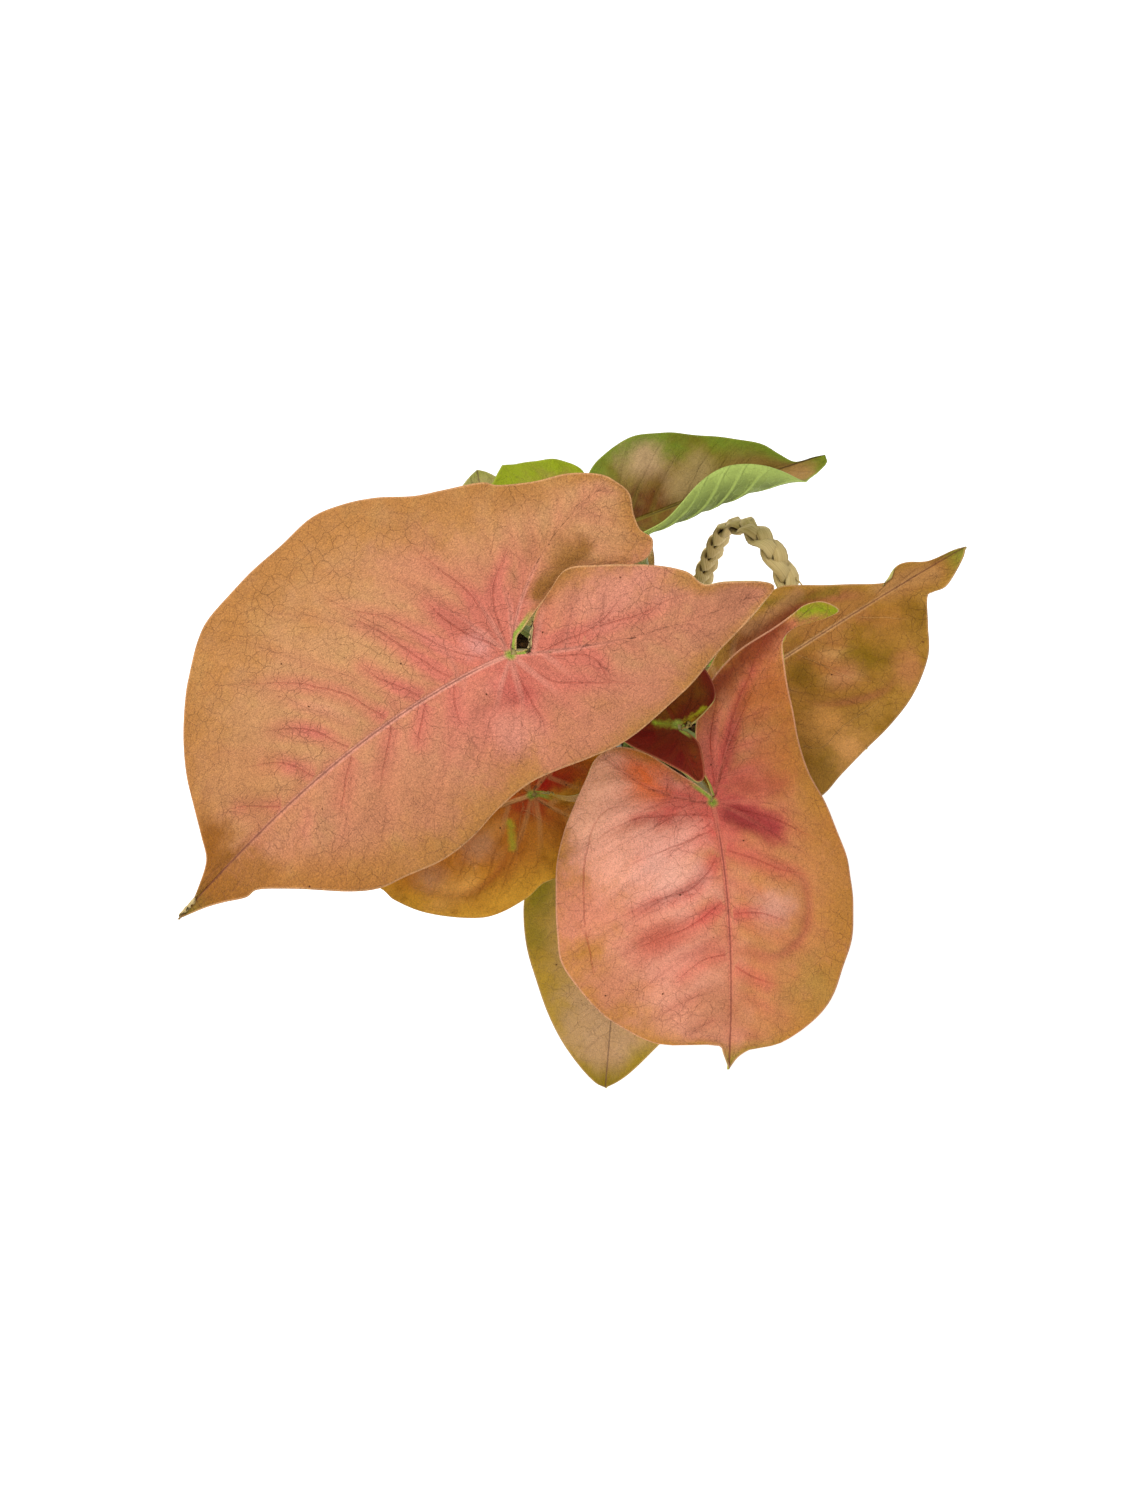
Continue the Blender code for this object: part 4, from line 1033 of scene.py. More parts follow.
def upper_finish(leaf, coat):
    """The upper skin: satin and granular, pink round the junction and along the veins, with its own
    tone in each half and at the margin, patches, a fine net of veins and a thin pale rim. Its folds
    have painted shade in their hollows and a painted highlight on their crests."""
    material, place = new_finish(leaf.name + "_upper", {"Specular IOR Level": 0.14})
    w = vein_wires(place)
    level, t, far, length = w.level, w.t, w.far, leaf.length
    slow, mottle = level.cloud(0.045, 2.0), level.cloud(0.16, 4.0, 0.65)
    drift, flecks = w.drift - 0.5, mottle - 0.5

    # The two halves, the margin and the patches
    colour = (w.across + drift * 30).rise(-12, 10).mix(screen(*coat.right), screen(*coat.left))
    colour = (t + drift * 0.5 + flecks * 0.3).rise(0.45, 1.0).mix(colour, screen(*coat.margin))
    patch = (level.cloud(0.07, 3.0, 0.6) + flecks * 0.3).rise(0.50, 0.68) * coat.patches
    colour = patch.mix(colour, screen(*coat.patch))

    # The core: round the junction, and in bands along the veins
    band = w.vein.least(w.own_rib).least(w.midrib).rise(4.5, 0.0) * 0.6
    band = band.most(w.gap.rise(5.5, 0.0) * w.strong.rise(0.0, 0.6) * 1.3)
    band = band * t.rise(0.95, 0.15) * (slow * 1.3) * (mottle * 0.8 + 0.6)
    heart = (far + drift * 26 + flecks * 14).rise(coat.heart, 0.0)
    colour = (heart * 0.85 + band * coat.band).least(1.0).mix(colour, screen(*coat.core))

    # Painted shade in the hollows of the folds and a painted highlight on their crests
    colour = (w.dip.rise(0.1, 1.6) * 0.7).mix(colour, shade(coat.core, 0.86))
    colour = (w.dip.rise(-0.1, -1.4) * 0.35).mix(colour, shade(coat.vein, 1.12))

    # Blots, with crumbled edges, of which some are painted highlights or painted shade, and the tip
    crumbs = (level.cloud(0.6, 3.0, 0.7) - 0.5) * 2.5
    for line, radius, blot, strength in coat.blots:
        near = level.distance(line) + drift * radius + flecks * radius + crumbs
        colour = (near.rise(1.15 * radius, 0.0) * strength).mix(colour, screen(*blot))
    colour = (w.along + drift * 6).rise(0.86 * length, 0.99 * length).mix(colour, screen(*coat.tip))

    # Veins, from the finest net to the leaf's own and the midrib
    bent = bend_lines(level)
    net, fine = net_lines(bent, 0.22, 0.030), net_lines(bent, 0.60, 0.08)
    web = net * slow.rise(0.25, 0.7) + fine * 0.35 + w.minor.rise(0.30, 0.1) * mottle * 0.3
    web = web * coat.net
    thread = w.vein.rise(0.32, 0.08) * t.rise(1.05, 0.5) * slow.rise(0.3, 0.6)
    colour = (web * 0.3 + thread * 0.14).least(1.0).mix(colour, shade(coat.core, 0.66))
    line = coat.line or [part * keep for part, keep in zip(coat.core, (0.86, 0.66, 0.64))]
    colour = (w.own * (mottle * 0.4 + 0.1)).mix(colour, screen(*line))
    pale = w.vein.rise(1.3, 0.35) * far.rise(22, 6) * 0.4
    stout = w.own_rib.rise(0.9, 0.3) * far.rise(36, 10) * 0.5
    spine = w.midrib.rise(1.0, 0.35) * far.rise(0.95 * length, 0.15 * length)
    colour = pale.most(stout).most(spine * 0.8).mix(colour, screen(*coat.vein))
    keel = (w.midrib + flecks * 0.3).rise(0.34, 0.12) * w.along.rise(2.0, 12.0)
    colour = (keel * 0.65).mix(colour, shade(coat.core, 0.58))

    # The green knot at the junction, and the thin rim
    knot = far.rise(2.2, 0.5).most(w.rim.rise(1.9, 0.9) * far.rise(0.12 * length, 0.06 * length))
    colour = knot.mix(colour, screen(*KNOT_GREEN))
    colour = (w.rim.rise(0.55, 0.2) * 0.6).mix(colour, screen(*(coat.rim or coat.vein)))

    # Grain, specks and the relief of the skin
    grain, sand = level.cloud(2.3, 2.0, 0.7), level.cloud(0.9, 3.0, 0.7)
    colour = colour * ((grain - 0.5) * (1.1 * coat.grain) + (sand - 0.5) * (0.5 * coat.grain)
                       + flecks * 0.3 + (w.weave - 0.5) * 0.34 + 1.0)
    specks = level.node("TexVoronoi", {"Vector": level, "Scale": 0.16, "Randomness": 1.0}, feature="F1")
    specks = specks.rise(0.06, 0.03) * level.cloud(0.1, 1.0).rise(0.5, 0.56)
    colour = specks.mix(colour, screen(*SPECK_BROWN))
    height = grain * 0.6 + sand * 1.0 + mottle * 2.2 - web * 1.0 - thread * 0.8 - w.own * 1.3
    height = height - stout * 1.5 - spine * 1.8 + w.weave * 4.0
    dress(material, colour, grain * 0.2 + (0.58 - 0.2 * coat.gloss), height, 0.16 * MM)
    return material


def lower_finish(leaf, coat):
    """The underside and the edge: paler, greener and duller, with raised pale veins."""
    material, place = new_finish(leaf.name + "_lower", {"Specular IOR Level": 0.14})
    w = vein_wires(place)
    level = w.level
    pale = screen(*[min(255, 1.22 * part + 8) for part in coat.under])
    colour = w.drift.rise(0.3, 0.7).mix(screen(*coat.under), shade(coat.under, 0.72))
    colour = (w.t + (w.drift - 0.5) * 0.6).rise(0.6, 1.05).mix(colour, pale)
    net = net_lines(bend_lines(level), 0.3, 0.06)
    cords = w.vein.rise(0.8, 0.2).most(w.own).most(w.own_rib.rise(1.2, 0.5)).most(w.midrib.rise(1.4, 0.6))
    colour = cords.most(net * 0.45).mix(colour, pale)
    colour = colour * ((level.cloud(1.6, 2.0) - 0.5) * 0.4 + 1.0)
    height = cords + net * 0.4 + level.cloud(0.5, 3.0) * 0.6
    dress(material, colour, w.drift * 0.1 + 0.5, height, 0.25 * MM)
    return material


def put_stalk(leaf):
    """A leaf stalk from inside its stem to the junction: a cubic curve that climbs upright and comes
    in square to the blade, thicker at its clasping base."""
    stem = STEMS[leaf.stem]
    forward, _, up = leaf_axes(leaf)
    end = np.array([*on_bearing(leaf.bearing, leaf.reach), leaf.height]) * MM
    neck = end - up * NECK
    start = np.array([*on_bearing(stem.bearing, stem.reach), stem.top - STALK_ROOT]) * MM
    pull = start + np.array([0, 0, leaf.rise * MM]) + (neck - start) * (1, 1, 0) * STALK_SPREAD
    settle = neck + (forward * leaf.sweep - up * leaf.lean) * MM
    t = np.linspace(0, 1, STALK_STEPS)[:, None]
    bow = start * (1 - t) ** 3 + 3 * pull * t * (1 - t) ** 2 + 3 * settle * t**2 * (1 - t) + neck * t**3
    path = np.vstack([bow, end - up * STALK_END])
    share = np.linspace(0, 1, len(path))
    radii = STALK_FOOT + (STALK_TOP - STALK_FOOT) * share
    radii = radii * (1 + SHEATH_SWELL * np.clip(1 - share / SHEATH, 0, 1))
    radii[-FLARE_STEPS:] *= np.linspace(1, FLARE, FLARE_STEPS)
    length = np.linalg.norm(np.diff(path, axis=0), axis=1).sum() / MM
    skin = stalk_finish(leaf.name + "_stalk_skin", STALK_LOW, STALK_HIGH, STALK_BLUSH, length)
    piece = join_strands(leaf.name + "_stalk", [tube(path, radii * MM, STALK_SIDES)], False, skin)
    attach(piece, "root")
    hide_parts(leaf.stem)


def grow(leaf, coat):
    """A leaf with both its pieces."""
    put_stalk(leaf)
    put_blade(leaf, upper_finish(leaf, coat), lower_finish(leaf, coat))


grow(
    Leaf("leaf_top", "stem_left", bearing=-128, reach=39, height=219, heading=-149, pitch=27, roll=-12,
         length=132,
         left=((122, 2.5), (115, 5), (108, 8), (103, 8.5), (93, 15), (81, 25), (73, 30), (66, 32), (54, 35),
               (42, 35), (30, 32.5), (19, 32), (9, 34), (0, 37), (-9, 39.5), (-21, 39.5), (-34, 38),
               (-45, 35), (-56, 33), (-65, 31), (-70, 29.5), (-68, 26), (-60, 20), (-55, 17), (-53, 11),
               (-46, 3.5), (-34, -5.5), (-27, -9.5), (-20, -7.6), (-13, -5), (-10, -2.5), (-8, -0.3),
               (-6.2, 1.6), (-3.5, 1.0)),
         right=((125, 1), (119, 3.5), (112, 8), (109, 14), (105, 23), (101, 31.5), (95, 40), (87, 49),
                (82, 53.5), (73, 60), (65, 63.5), (50, 66), (37, 67), (24, 67.5), (14, 64.5), (5, 59.5),
                (-4, 53), (-12, 49), (-22, 44), (-25.5, 40.5), (-34, 35.5), (-43, 31.5), (-50, 26),
                (-52.5, 21.5), (-53.5, 16.5), (-51, 11), (-50, 6.5), (-51, 2), (-46, -1), (-34, 3),
                (-20, 6.5), (-13, 5.6), (-7.5, 3.8), (-4.5, 3)),
         fold=4, curl=(0.014, 0.003), droop=(0.10, 0.10), lobes=(4, -4), wave=1.0, rise=75, lean=45,
         ribs=((0.75, 0.05), (0.75, 0.12)), sway=-6.5, quilt=0.36,
         veins=(((-6, 4), (-15, 6), (-25, 9), (-36, 13), (-48, 16), (-59, 23)),
                ((-20, 8), (-28, 8), (-36, 6)), ((-9, 7), (-18, 14), (-18, 22), (-16, 32)),
                ((0, -2), (-6, -16), (-13, -22), (-22, -27)), ((0, -2), (-1, -20), (2, -32), (6, -46)),
                ((1, -2), (7, -12), (10, -22), (12, -34)),
                ((6, -1), (14, -10), (21, -25), (31, -38), (37, -52)),
                ((18, -1), (22, -12), (28, -28), (38, -44)), ((28, -1), (34, -12), (39, -25)),
                ((40, -1), (46, -16), (58, -30), (76, -44)), ((54, -1), (62, -15), (76, -26)),
                ((68, -1), (74, -12), (85, -20)), ((82, -1), (90, -9), (98, -14)),
                ((18, 1), (22, 6), (24, 14)), ((28, 1), (34, 6), (40, 12)), ((40, 1), (48, 7), (56, 13)),
                ((55, 1), (63, 6), (70, 11)), ((1, 2), (3, 14), (4, 21), (8, 27)),
                ((-2, 5), (-6, 14), (-20, 25), (-31, 36))),
         folds=((((0, 5), (2, 12), (6, 13), (13, 11), (20, 10)), 2.0, 1.2),
                (((23, -4), (25, 0), (26, 3)), 1.6, 0.7), (((3, -5), (7, -14), (9, -22)), 2.5, 0.9),
                (((9, -3), (14, -11), (20, -24)), 2.5, -0.8), (((4, 3), (9, 6), (14, 6)), 2.5, -0.9),
                (((46, -4), (53, -16), (62, -26)), 3.0, -0.7),
                (((-12, -12), (-19, -18), (-28, -22)), 3.0, 0.8)),
         slot="leaf_pink"),
    Coat(margin=(182, 124, 64), left=(200, 134, 98), right=(200, 144, 96), core=(206, 116, 95),
         vein=(228, 156, 134), patch=(190, 146, 88), tip=(124, 106, 14), under=(158, 138, 92), heart=40,
         band=0.85, patches=0.25, grain=1.35, net=0.9, gloss=0.35,
         blots=(((5, 10), 8, (200, 90, 80), 0.7), ((18, 14), 18, (206, 118, 100), 0.5),
                # The dark olive streak from (-17, -9.5) to (-34, -12) and the softer olive blot at (-28, -15)
                # are painted shadow from the lobe that overlaps there
                ((-17, -9.5, -34, -12), 5, (140, 92, 30), 0.9), ((-28, -15), 10, (164, 112, 56), 0.6),
                ((8, -34), 18, (210, 124, 100), 0.4), ((88, -14), 26, (184, 122, 74), 0.6),
                ((108, -10, 116, 2), 14, (142, 84, 12), 0.9), ((100, 5, 112, 3), 11, (156, 100, 34), 0.8),
                ((96, 14, 74, 28), 12, (174, 112, 50), 0.7), ((-44, 6, -28, 2), 10, (212, 136, 114), 0.8),
                ((8, 31, -28, 32), 9, (208, 132, 102), 0.7), ((62, 12, 44, 20), 13, (192, 124, 86), 0.6),
                ((12, 20), 9, (222, 148, 124), 0.6), ((-60, 24, -50, 30), 9, (180, 116, 84), 0.7),
                ((6, -6), 6, (224, 158, 146), 0.6)),
         rim=(222, 168, 118)),
)

# The front leaf: a broad, nearly round blade, coral and rose with a tan right side, its left lobe bent
# down and its right lobe standing up in a curl. It grows from the front stem on its own stalk.
grow(
    Leaf("leaf_front", "stem_front", bearing=-60, reach=69.5, height=177, heading=-85, pitch=30, length=83,
         left=((79, 3), (76.5, 8), (75.5, 16), (67, 28.5), (54, 36), (41, 41), (25, 40.5), (14, 37.5),
               (2, 33.5), (-9, 29), (-22, 26.5), (-34, 24.5), (-43, 24), (-47, 25.5), (-49.4, 29.5),
               (-50.4, 34), (-51.6, 39), (-53.4, 43), (-55.4, 41), (-56.5, 37), (-55.5, 32), (-53, 28),
               (-49.5, 22), (-43, 10), (-34, 1), (-24, -3), (-16, -3.5), (-10, -2.5), (-6, -0.8)),
         right=((78, 1.5), (75, 2.5), (74, 6.5), (72.5, 21), (66.5, 32), (59.5, 39.5), (47, 47.5), (37, 49),
                (20, 48.5), (9, 46), (-2, 41), (-11, 36), (-15.5, 33.5), (-18, 29.5), (-18.5, 24.5),
                (-16, 18), (-11.5, 12), (-8.5, 8), (-5.5, 4)),
         fold=3, curl=(0.008, 0.006), droop=(0.15, 0.10), lobes=(4, -6), wave=1.0, rise=60, lean=45,
         ribs=((0.9, -0.06), (0.75, 0.1)), sway=2.4, quilt=0.4,
         dents=((33, 13, 8, -1.4), (12, -14, 9, -1.2), (-15, -27, 6, 0.6)),
         veins=(((14, 1), (18, 10), (22, 19), (26, 32)), ((4, -1), (3, -10), (3, -22), (6, -32), (10, -38)),
                ((8, -1), (11, -10), (14, -20), (19, -32)),
                ((16, -1), (21, -5), (26, -11), (28, -20), (32, -30), (36, -42)),
                ((30, -1), (36, -10), (40, -20), (44, -32)), ((46, -1), (48, -9), (56, -19)),
                ((50, 1), (54, 8), (58, 18)), ((34, 1), (34, 10), (39, 22)),
                ((-5, 2), (-16, 5), (-29, 10), (-46, 19), (-54, 26)),
                ((-4, 1), (-16, 0.5), (-26, 2), (-36, 5)), ((2, 3), (5, 14), (10, 24), (16, 34)),
                ((50, -39), (40, -40.5), (30, -41), (18, -40), (6, -36.5), (0, -32), (-1, -26), (0, -18))),
         folds=((((20, 6), (20, 15), (24, 24), (32, 26), (40, 25), (46, 20), (48, 13), (45, 6), (44, 1)),
                 2.2, 1.0), (((18, -2), (24, -8), (28, -18), (32, -31)), 2.0, 1.3),
                (((36, -8), (40, -20), (42, -28)), 5.0, 1.2),
                (((1, 2), (4, 6), (7, 12), (10, 21)), 3.0, 2.6),
                (((-4, 4), (-8, 10), (-5, 15), (2, 14)), 2.2, -1.4),
                (((5, -3), (4, -12), (4, -24), (8, -34)), 2.0, 0.9),
                (((34, 2), (34, 10), (38, 20)), 1.8, 0.7), (((-9, 1), (-20, 2), (-30, 5)), 2.0, -1.2),
                (((-10, 5), (-22, 8), (-36, 14)), 2.2, 1.2), (((40, -1), (44, -8), (47, -16)), 2.0, 0.8),
                (((24, -43), (32, -43), (40, -40)), 1.6, 0.7)),
         slot="leaf_rose"),
    Coat(margin=(190, 128, 54), left=(204, 134, 80), right=(234, 158, 130), core=(214, 100, 84),
         vein=(218, 118, 96), patch=(210, 136, 96), tip=(160, 136, 44), under=(160, 150, 60), heart=26,
         band=0.8, patches=0.35, grain=1.1, net=0.8, gloss=0.9,
         # Of these blots, the near-white ones from (-5, -32), from (-13, -31), from (8, -8) and at (20, -16)
         # are painted highlights of the leaf's sheen; the dark red streak from (-32, 1) to (-50, 23) is
         # painted shade under the leaf that overhangs the lobe; the purple streak from (4, 7) to (9, 17) is
         # partly the crease's own colour and partly painted shade in it
         blots=(((30, -42), 17, (230, 144, 114), 0.9), ((4, -34), 17, (240, 162, 134), 0.9),
                ((54, -34), 13, (206, 130, 96), 0.8), ((-9, -21), 10, (250, 116, 44), 0.9),
                ((-5, -32, 16, -31), 12, (255, 178, 148), 0.95),
                ((8, -8, 14, -20), 8, (244, 166, 142), 0.8), ((39, -21), 11, (208, 106, 80), 0.7),
                ((42, -4), 9, (208, 118, 92), 0.5), ((64, -6), 17, (196, 126, 88), 0.8),
                ((58, 26), 13, (176, 134, 60), 0.7), ((4, 7, 9, 17), 6, (168, 54, 56), 0.8),
                ((-6, 8, -3, 20), 6, (184, 80, 60), 0.6), ((-12, -1, -30, 0), 5, (196, 96, 78), 0.6),
                ((-32, 1, -50, 23), 6, (128, 44, 16), 0.9), ((-30, 20), 14, (194, 108, 44), 0.8),
                ((-12, 22), 10, (198, 112, 56), 0.6), ((20, -16), 15, (242, 178, 156), 0.7),
                ((33, 14), 9, (222, 160, 138), 0.7), ((12, 40), 12, (188, 116, 56), 0.6),
                ((-54, 31, -53.5, 43), 5, (140, 156, 14), 0.95),
                ((-13, -31, 4, -39), 7, (255, 184, 148), 0.9)),
         rim=(238, 176, 138)),
)

# The right leaf: a thin blade with a long point, tan and olive with a pale midrib. It grows from the
# front stem on its own stalk and arches over the handle's side.
grow(
    Leaf("leaf_right", "stem_front", bearing=-22, reach=47.5, height=160, heading=32, pitch=-5, length=87,
         left=((83, 1), (74, 2), (68, 5), (64, 5.5), (60, 3), (56, 4), (48, 9), (36, 17), (28, 20.5),
               (14, 18), (0, 12), (-9, 6)),
         right=((83, 3.5), (74, 8), (69, 7.5), (66.5, 8), (61, 16), (55, 24.5), (44, 32), (33, 36),
                (21, 38.5), (12, 40.5), (4, 42.5), (-6, 42), (-16, 36), (-24, 28), (-24, 16), (-13, 6)),
         curl=(0.006, 0.008), droop=(0.12, 0.10), wave=1.0, rise=55, lean=35, quilt=0.5,
         veins=(((22, -1), (28, -11), (31, -17), (34, -20), (40, -24)),
                ((7, -26), (12, -30), (22, -28), (34, -28), (42, -24)), ((44, -1), (52, -7), (58, -12))),
         folds=((((13, -14), (21, -20), (30, -24), (38, -26), (45, -24)), 1.8, 1.2),
                (((40, -13), (44, -18), (52, -20)), 1.8, 1.2), (((26, -4), (32, -9), (40, -10)), 3.0, -1.0),
                (((8, 10), (18, 11), (26, 10), (34, 12), (43, 8), (53, 2)), 2.5, 2.0),
                (((20, -12), (30, -16), (38, -19)), 2.5, -1.0))),
    Coat(margin=(172, 124, 48), left=(164, 112, 52), right=(166, 114, 40), core=(186, 106, 68),
         vein=(214, 164, 110), patch=(142, 100, 10), tip=(140, 140, 40), under=(148, 138, 78), heart=12,
         band=0.3, patches=0.7, grain=0.9, net=0.9, gloss=0.5,
         blots=(((19, -8), 9, (124, 86, 4), 0.9), ((36, -12, 44, -18), 7, (136, 102, 8), 0.9),
                ((60, -12), 8, (132, 92, 8), 0.9), ((13, -35), 6, (132, 100, 0), 0.9),
                ((30, -15), 7, (190, 122, 78), 0.7), ((48, -24), 8, (184, 116, 70), 0.7),
                ((17, -25), 9, (216, 150, 78), 0.8), ((18, -35), 9, (226, 160, 92), 0.8),
                # The dark red brown streak from (8, 11) to (36, 11) is painted shade in the hollow along the
                # fold there
                ((8, 11, 36, 11), 5, (124, 58, 26), 0.8), ((2, 5, 10, 6), 5, (186, 112, 76), 0.7),
                ((22, 18.5, 44, 9.5), 2.5, (132, 104, 20), 0.8), ((14, 14, 34, 15), 3, (182, 128, 84), 0.6),
                ((56, 2, 72, -2), 5, (186, 134, 78), 0.7)),
         line=(200, 150, 90)),
)

# The half-rolled leaf at the back right: an olive blade whose near half rolls up and over and shows
# the green underside with its raised veins. It grows from the right stem on its own stalk.
grow(
    Leaf("leaf_back_right", "stem_right", bearing=74, reach=43, height=157, heading=23, pitch=4, length=71,
         left=((67, 0.4), (60, 0.8), (56, 5), (52, 10), (43, 16), (32, 22.5), (24, 26.5), (13, 28.5),
               (3, 26), (-4, 22.5), (-12, 13), (-9, 5)),
         right=((70.6, 2), (69.5, 3.6), (65, 6), (60, 8.6), (56, 12.5), (44, 20), (32, 24), (20, 22.5),
                (8, 17), (-4, 12), (-10, 7), (-7, 3)),
         fold=2, curl=(0.004, -0.10), droop=(0.08, 0.10), wave=0.6, rise=50, lean=30, sweep=14, tighten=0.6,
         quilt=0.3, slot="leaf_olive"),
    Coat(margin=(110, 128, 26), left=(138, 112, 48), right=(104, 74, 10), core=(110, 68, 24),
         vein=(124, 110, 36), patch=(108, 88, 8), tip=(112, 126, 20), under=(138, 154, 76), heart=14,
         band=0.2, patches=0.5, grain=0.8, net=0.5, gloss=0.5,
         blots=(((14, 19), 11, (190, 156, 112), 0.9), ((32, 11), 10, (118, 104, 2), 0.9),
                # The dark brown blots at (12, 5) and (0, 8), by the junction, are painted shade
                ((12, 5), 10, (106, 58, 10), 0.9), ((0, 8), 8, (84, 30, 10), 0.8),
                ((20, 4, 30, 10), 8, (176, 148, 96), 0.7), ((54, -5, 63, -5), 7, (176, 134, 74), 0.9)),
         rim=(150, 156, 60)),
)

# Two small leaves at the back, one lime and one olive, of which the edges show past the top leaf.
# They are thin, nearly flat blades that grow from the back stem, each on its own stalk.
grow(
    Leaf("leaf_back", "stem_back", bearing=111, reach=38, height=169, heading=176, pitch=4, length=50,
         left=arrow(50, 19, 11),
         right=((40, 4), (28, 8), (20, 11), (18, 14), (17, 18.5), (12, 20), (6, 21.5), (0, 22.5),
                (-6, 21.5), (-10, 19), (-12, 13), (-6, 4)),
         wave=0.6, rise=62, lean=30, slot="leaf_lime"),
    Coat(margin=(146, 160, 22), left=(150, 162, 26), right=(150, 162, 26), core=(190, 120, 92),
         vein=(176, 184, 70), patch=(132, 146, 20), tip=(136, 152, 24), under=(150, 162, 84), heart=20,
         band=0.2, patches=0.4, grain=0.6, net=0.5, gloss=0.6),
)
grow(
    Leaf("leaf_back_left", "stem_back", bearing=150, reach=34, height=153, heading=100, pitch=0, length=47,
         left=((44.5, 2.5), (41, 5.5), (36, 9), (26, 14), (13, 15.5), (0, 15), (-7, 13), (-11, 8), (-6, 2)),
         right=((44, 4), (40, 7.5), (33, 11), (24, 14.5), (13, 15.5), (0, 15), (-7, 13), (-11, 8), (-6, 2)),
         wave=0.6, rise=50, lean=25, slot="leaf_olive"),
    Coat(margin=(164, 156, 84), left=(168, 158, 92), right=(168, 158, 92), core=(190, 140, 104),
         vein=(190, 180, 116), patch=(150, 146, 70), tip=(150, 150, 66), under=(156, 156, 92), heart=14,
         band=0.3, patches=0.4, grain=0.6, net=0.5, gloss=0.5),
)

# The low left leaf: a thin blade, orange brown with an olive margin and a yellow-green fleck, under
# the top leaf. It grows from the left stem on its own stalk.
grow(
    Leaf("leaf_left_low", "stem_left", bearing=-110, reach=55.5, height=160, heading=-162, pitch=13,
         length=64,
         left=((53, 11), (49.5, 16.5), (41, 24), (29, 30), (21, 31.5), (11, 30), (5, 27.5), (-4, 27),
               (-14, 24), (-21, 18), (-20, 11), (-13, 7), (-9, 5), (-5, 1.6)),
         right=((51, 7), (35, 20), (18, 28.5), (0, 30), (-12, 28), (-22, 22), (-27, 12), (-26, 4),
                (-21, -2), (-16, -4), (-12, -4.5), (-8, -3), (-5, -0.8)),
         curl=(0.008, 0.008), droop=(0.15, 0.1), rise=50, lean=30, quilt=0.4,
         veins=(((4, 1), (3, 4), (0, 8), (-5, 15)), ((3, 0.5), (5, 5), (9, 14), (12, 22))),
         folds=((((44, 11), (39, 17), (32, 21), (25, 22), (18, 20), (13, 16), (10, 12)), 1.6, 1.1),
                (((8, 3), (16, 8), (24, 12)), 3.0, -1.0), (((-2, 6), (-6, 12), (-8, 18)), 2.5, 0.8))),
    Coat(margin=(226, 164, 52), left=(212, 134, 46), right=(190, 104, 20), core=(188, 76, 30),
         vein=(226, 170, 110), patch=(166, 100, 10), tip=(170, 140, 40), under=(150, 132, 74), heart=12,
         band=0.4, patches=0.7, grain=0.9, net=0.9, gloss=0.6,
         blots=(((21, 10), 8, (206, 146, 110), 0.7), ((37, 14), 7, (206, 148, 114), 0.7),
                ((8.8, 6.5, 10.2, 14), 1.7, (186, 180, 50), 0.8), ((-5, -3), 6, (190, 20, 14), 0.9),
                ((-12, -2), 7, (176, 40, 20), 0.8), ((-20, -1, -18, 2), 5, (192, 88, 40), 0.7),
                ((37, 22, 26, 19), 6, (244, 176, 88), 0.7)),
         line=(214, 156, 100), rim=(206, 150, 60)),
)

# The small leaf between the two big ones: a brown red blade with yellow-green ribs at its notch.
# It grows from the front stem on its own stalk and lies in the shade of the other two; its dark
# brown red colours are partly its own and partly painted shade.
grow(
    Leaf("leaf_centre", "stem_front", bearing=-61.2, reach=49.2, height=197, heading=118, pitch=6,
         length=54,
         left=((43, 6), (30, 14), (15, 17), (6, 17.5), (1, 15.6), (-4, 12), (-9, 8.6), (-14.5, 5.2),
               (-18, 3.4), (-17.4, 0.8), (-12, -1.5), (-8, -2.5), (-4, -1.5)),
         right=((45, 5), (30, 11), (16, 15), (7, 15.5), (2, 13.5), (0, 10), (-1.5, 5)), curl=(0.008, 0.008),
         droop=(0.1, 0.1), wave=0.6, rise=60, lean=18, sweep=22),
    # These dark colours are partly the leaf's own and partly painted shade from the two big leaves
    Coat(margin=(116, 28, 4), left=(112, 12, 0), right=(128, 78, 8), core=(104, 16, 0), vein=(122, 44, 10),
         patch=(100, 12, 0), tip=(140, 120, 50), under=(140, 120, 64), heart=10, band=0.3, patches=0.6,
         grain=0.9, net=0.5, gloss=0.3,
         blots=(((6, 3, 12, -4), 7, (124, 74, 8), 0.9), ((-1.5, -4), 3, (176, 124, 14), 0.8),
                ((0.5, 1, 3, 5.5), 1.5, (156, 176, 44), 0.95),
                ((0, -1, 0.5, -9), 1.3, (176, 172, 30), 0.95)),
         rim=(178, 96, 66)),
)

# The low front leaf: a long blade that hangs down in front, olive above and tan grey in the middle,
# with a yellowish margin. It grows from the front stem on a short stalk.
grow(
    Leaf("leaf_front_low", "stem_front", bearing=-73, reach=42, height=116, heading=-95, pitch=34,
         length=101,
         left=((97, 5), (92.5, 9), (83, 16), (70, 25), (48, 30), (20, 31), (0, 27), (-9, 18), (-8, 8)),
         right=((98.5, 4), (92, 10), (81, 18), (68, 24), (51, 30), (40, 32), (30, 32), (15, 32), (0, 27),
                (-9, 18), (-8, 8)),
         fold=6, droop=(0.15, 0.1), rise=22, lean=20, slot="leaf_olive"),
    Coat(margin=(186, 146, 44), left=(206, 160, 112), right=(198, 154, 100), core=(206, 146, 112),
         vein=(214, 172, 112), patch=(168, 130, 50), tip=(150, 122, 10), under=(156, 140, 78), heart=20,
         band=0.3, patches=0.4, grain=0.9, net=0.7, gloss=0.6,
         blots=(((32, -28), 13, (140, 124, 10), 0.9), ((48, -28), 8, (150, 128, 20), 0.7),
                ((76, -4), 20, (212, 166, 122), 0.6), ((90, 12), 9, (160, 134, 14), 0.8))),
)

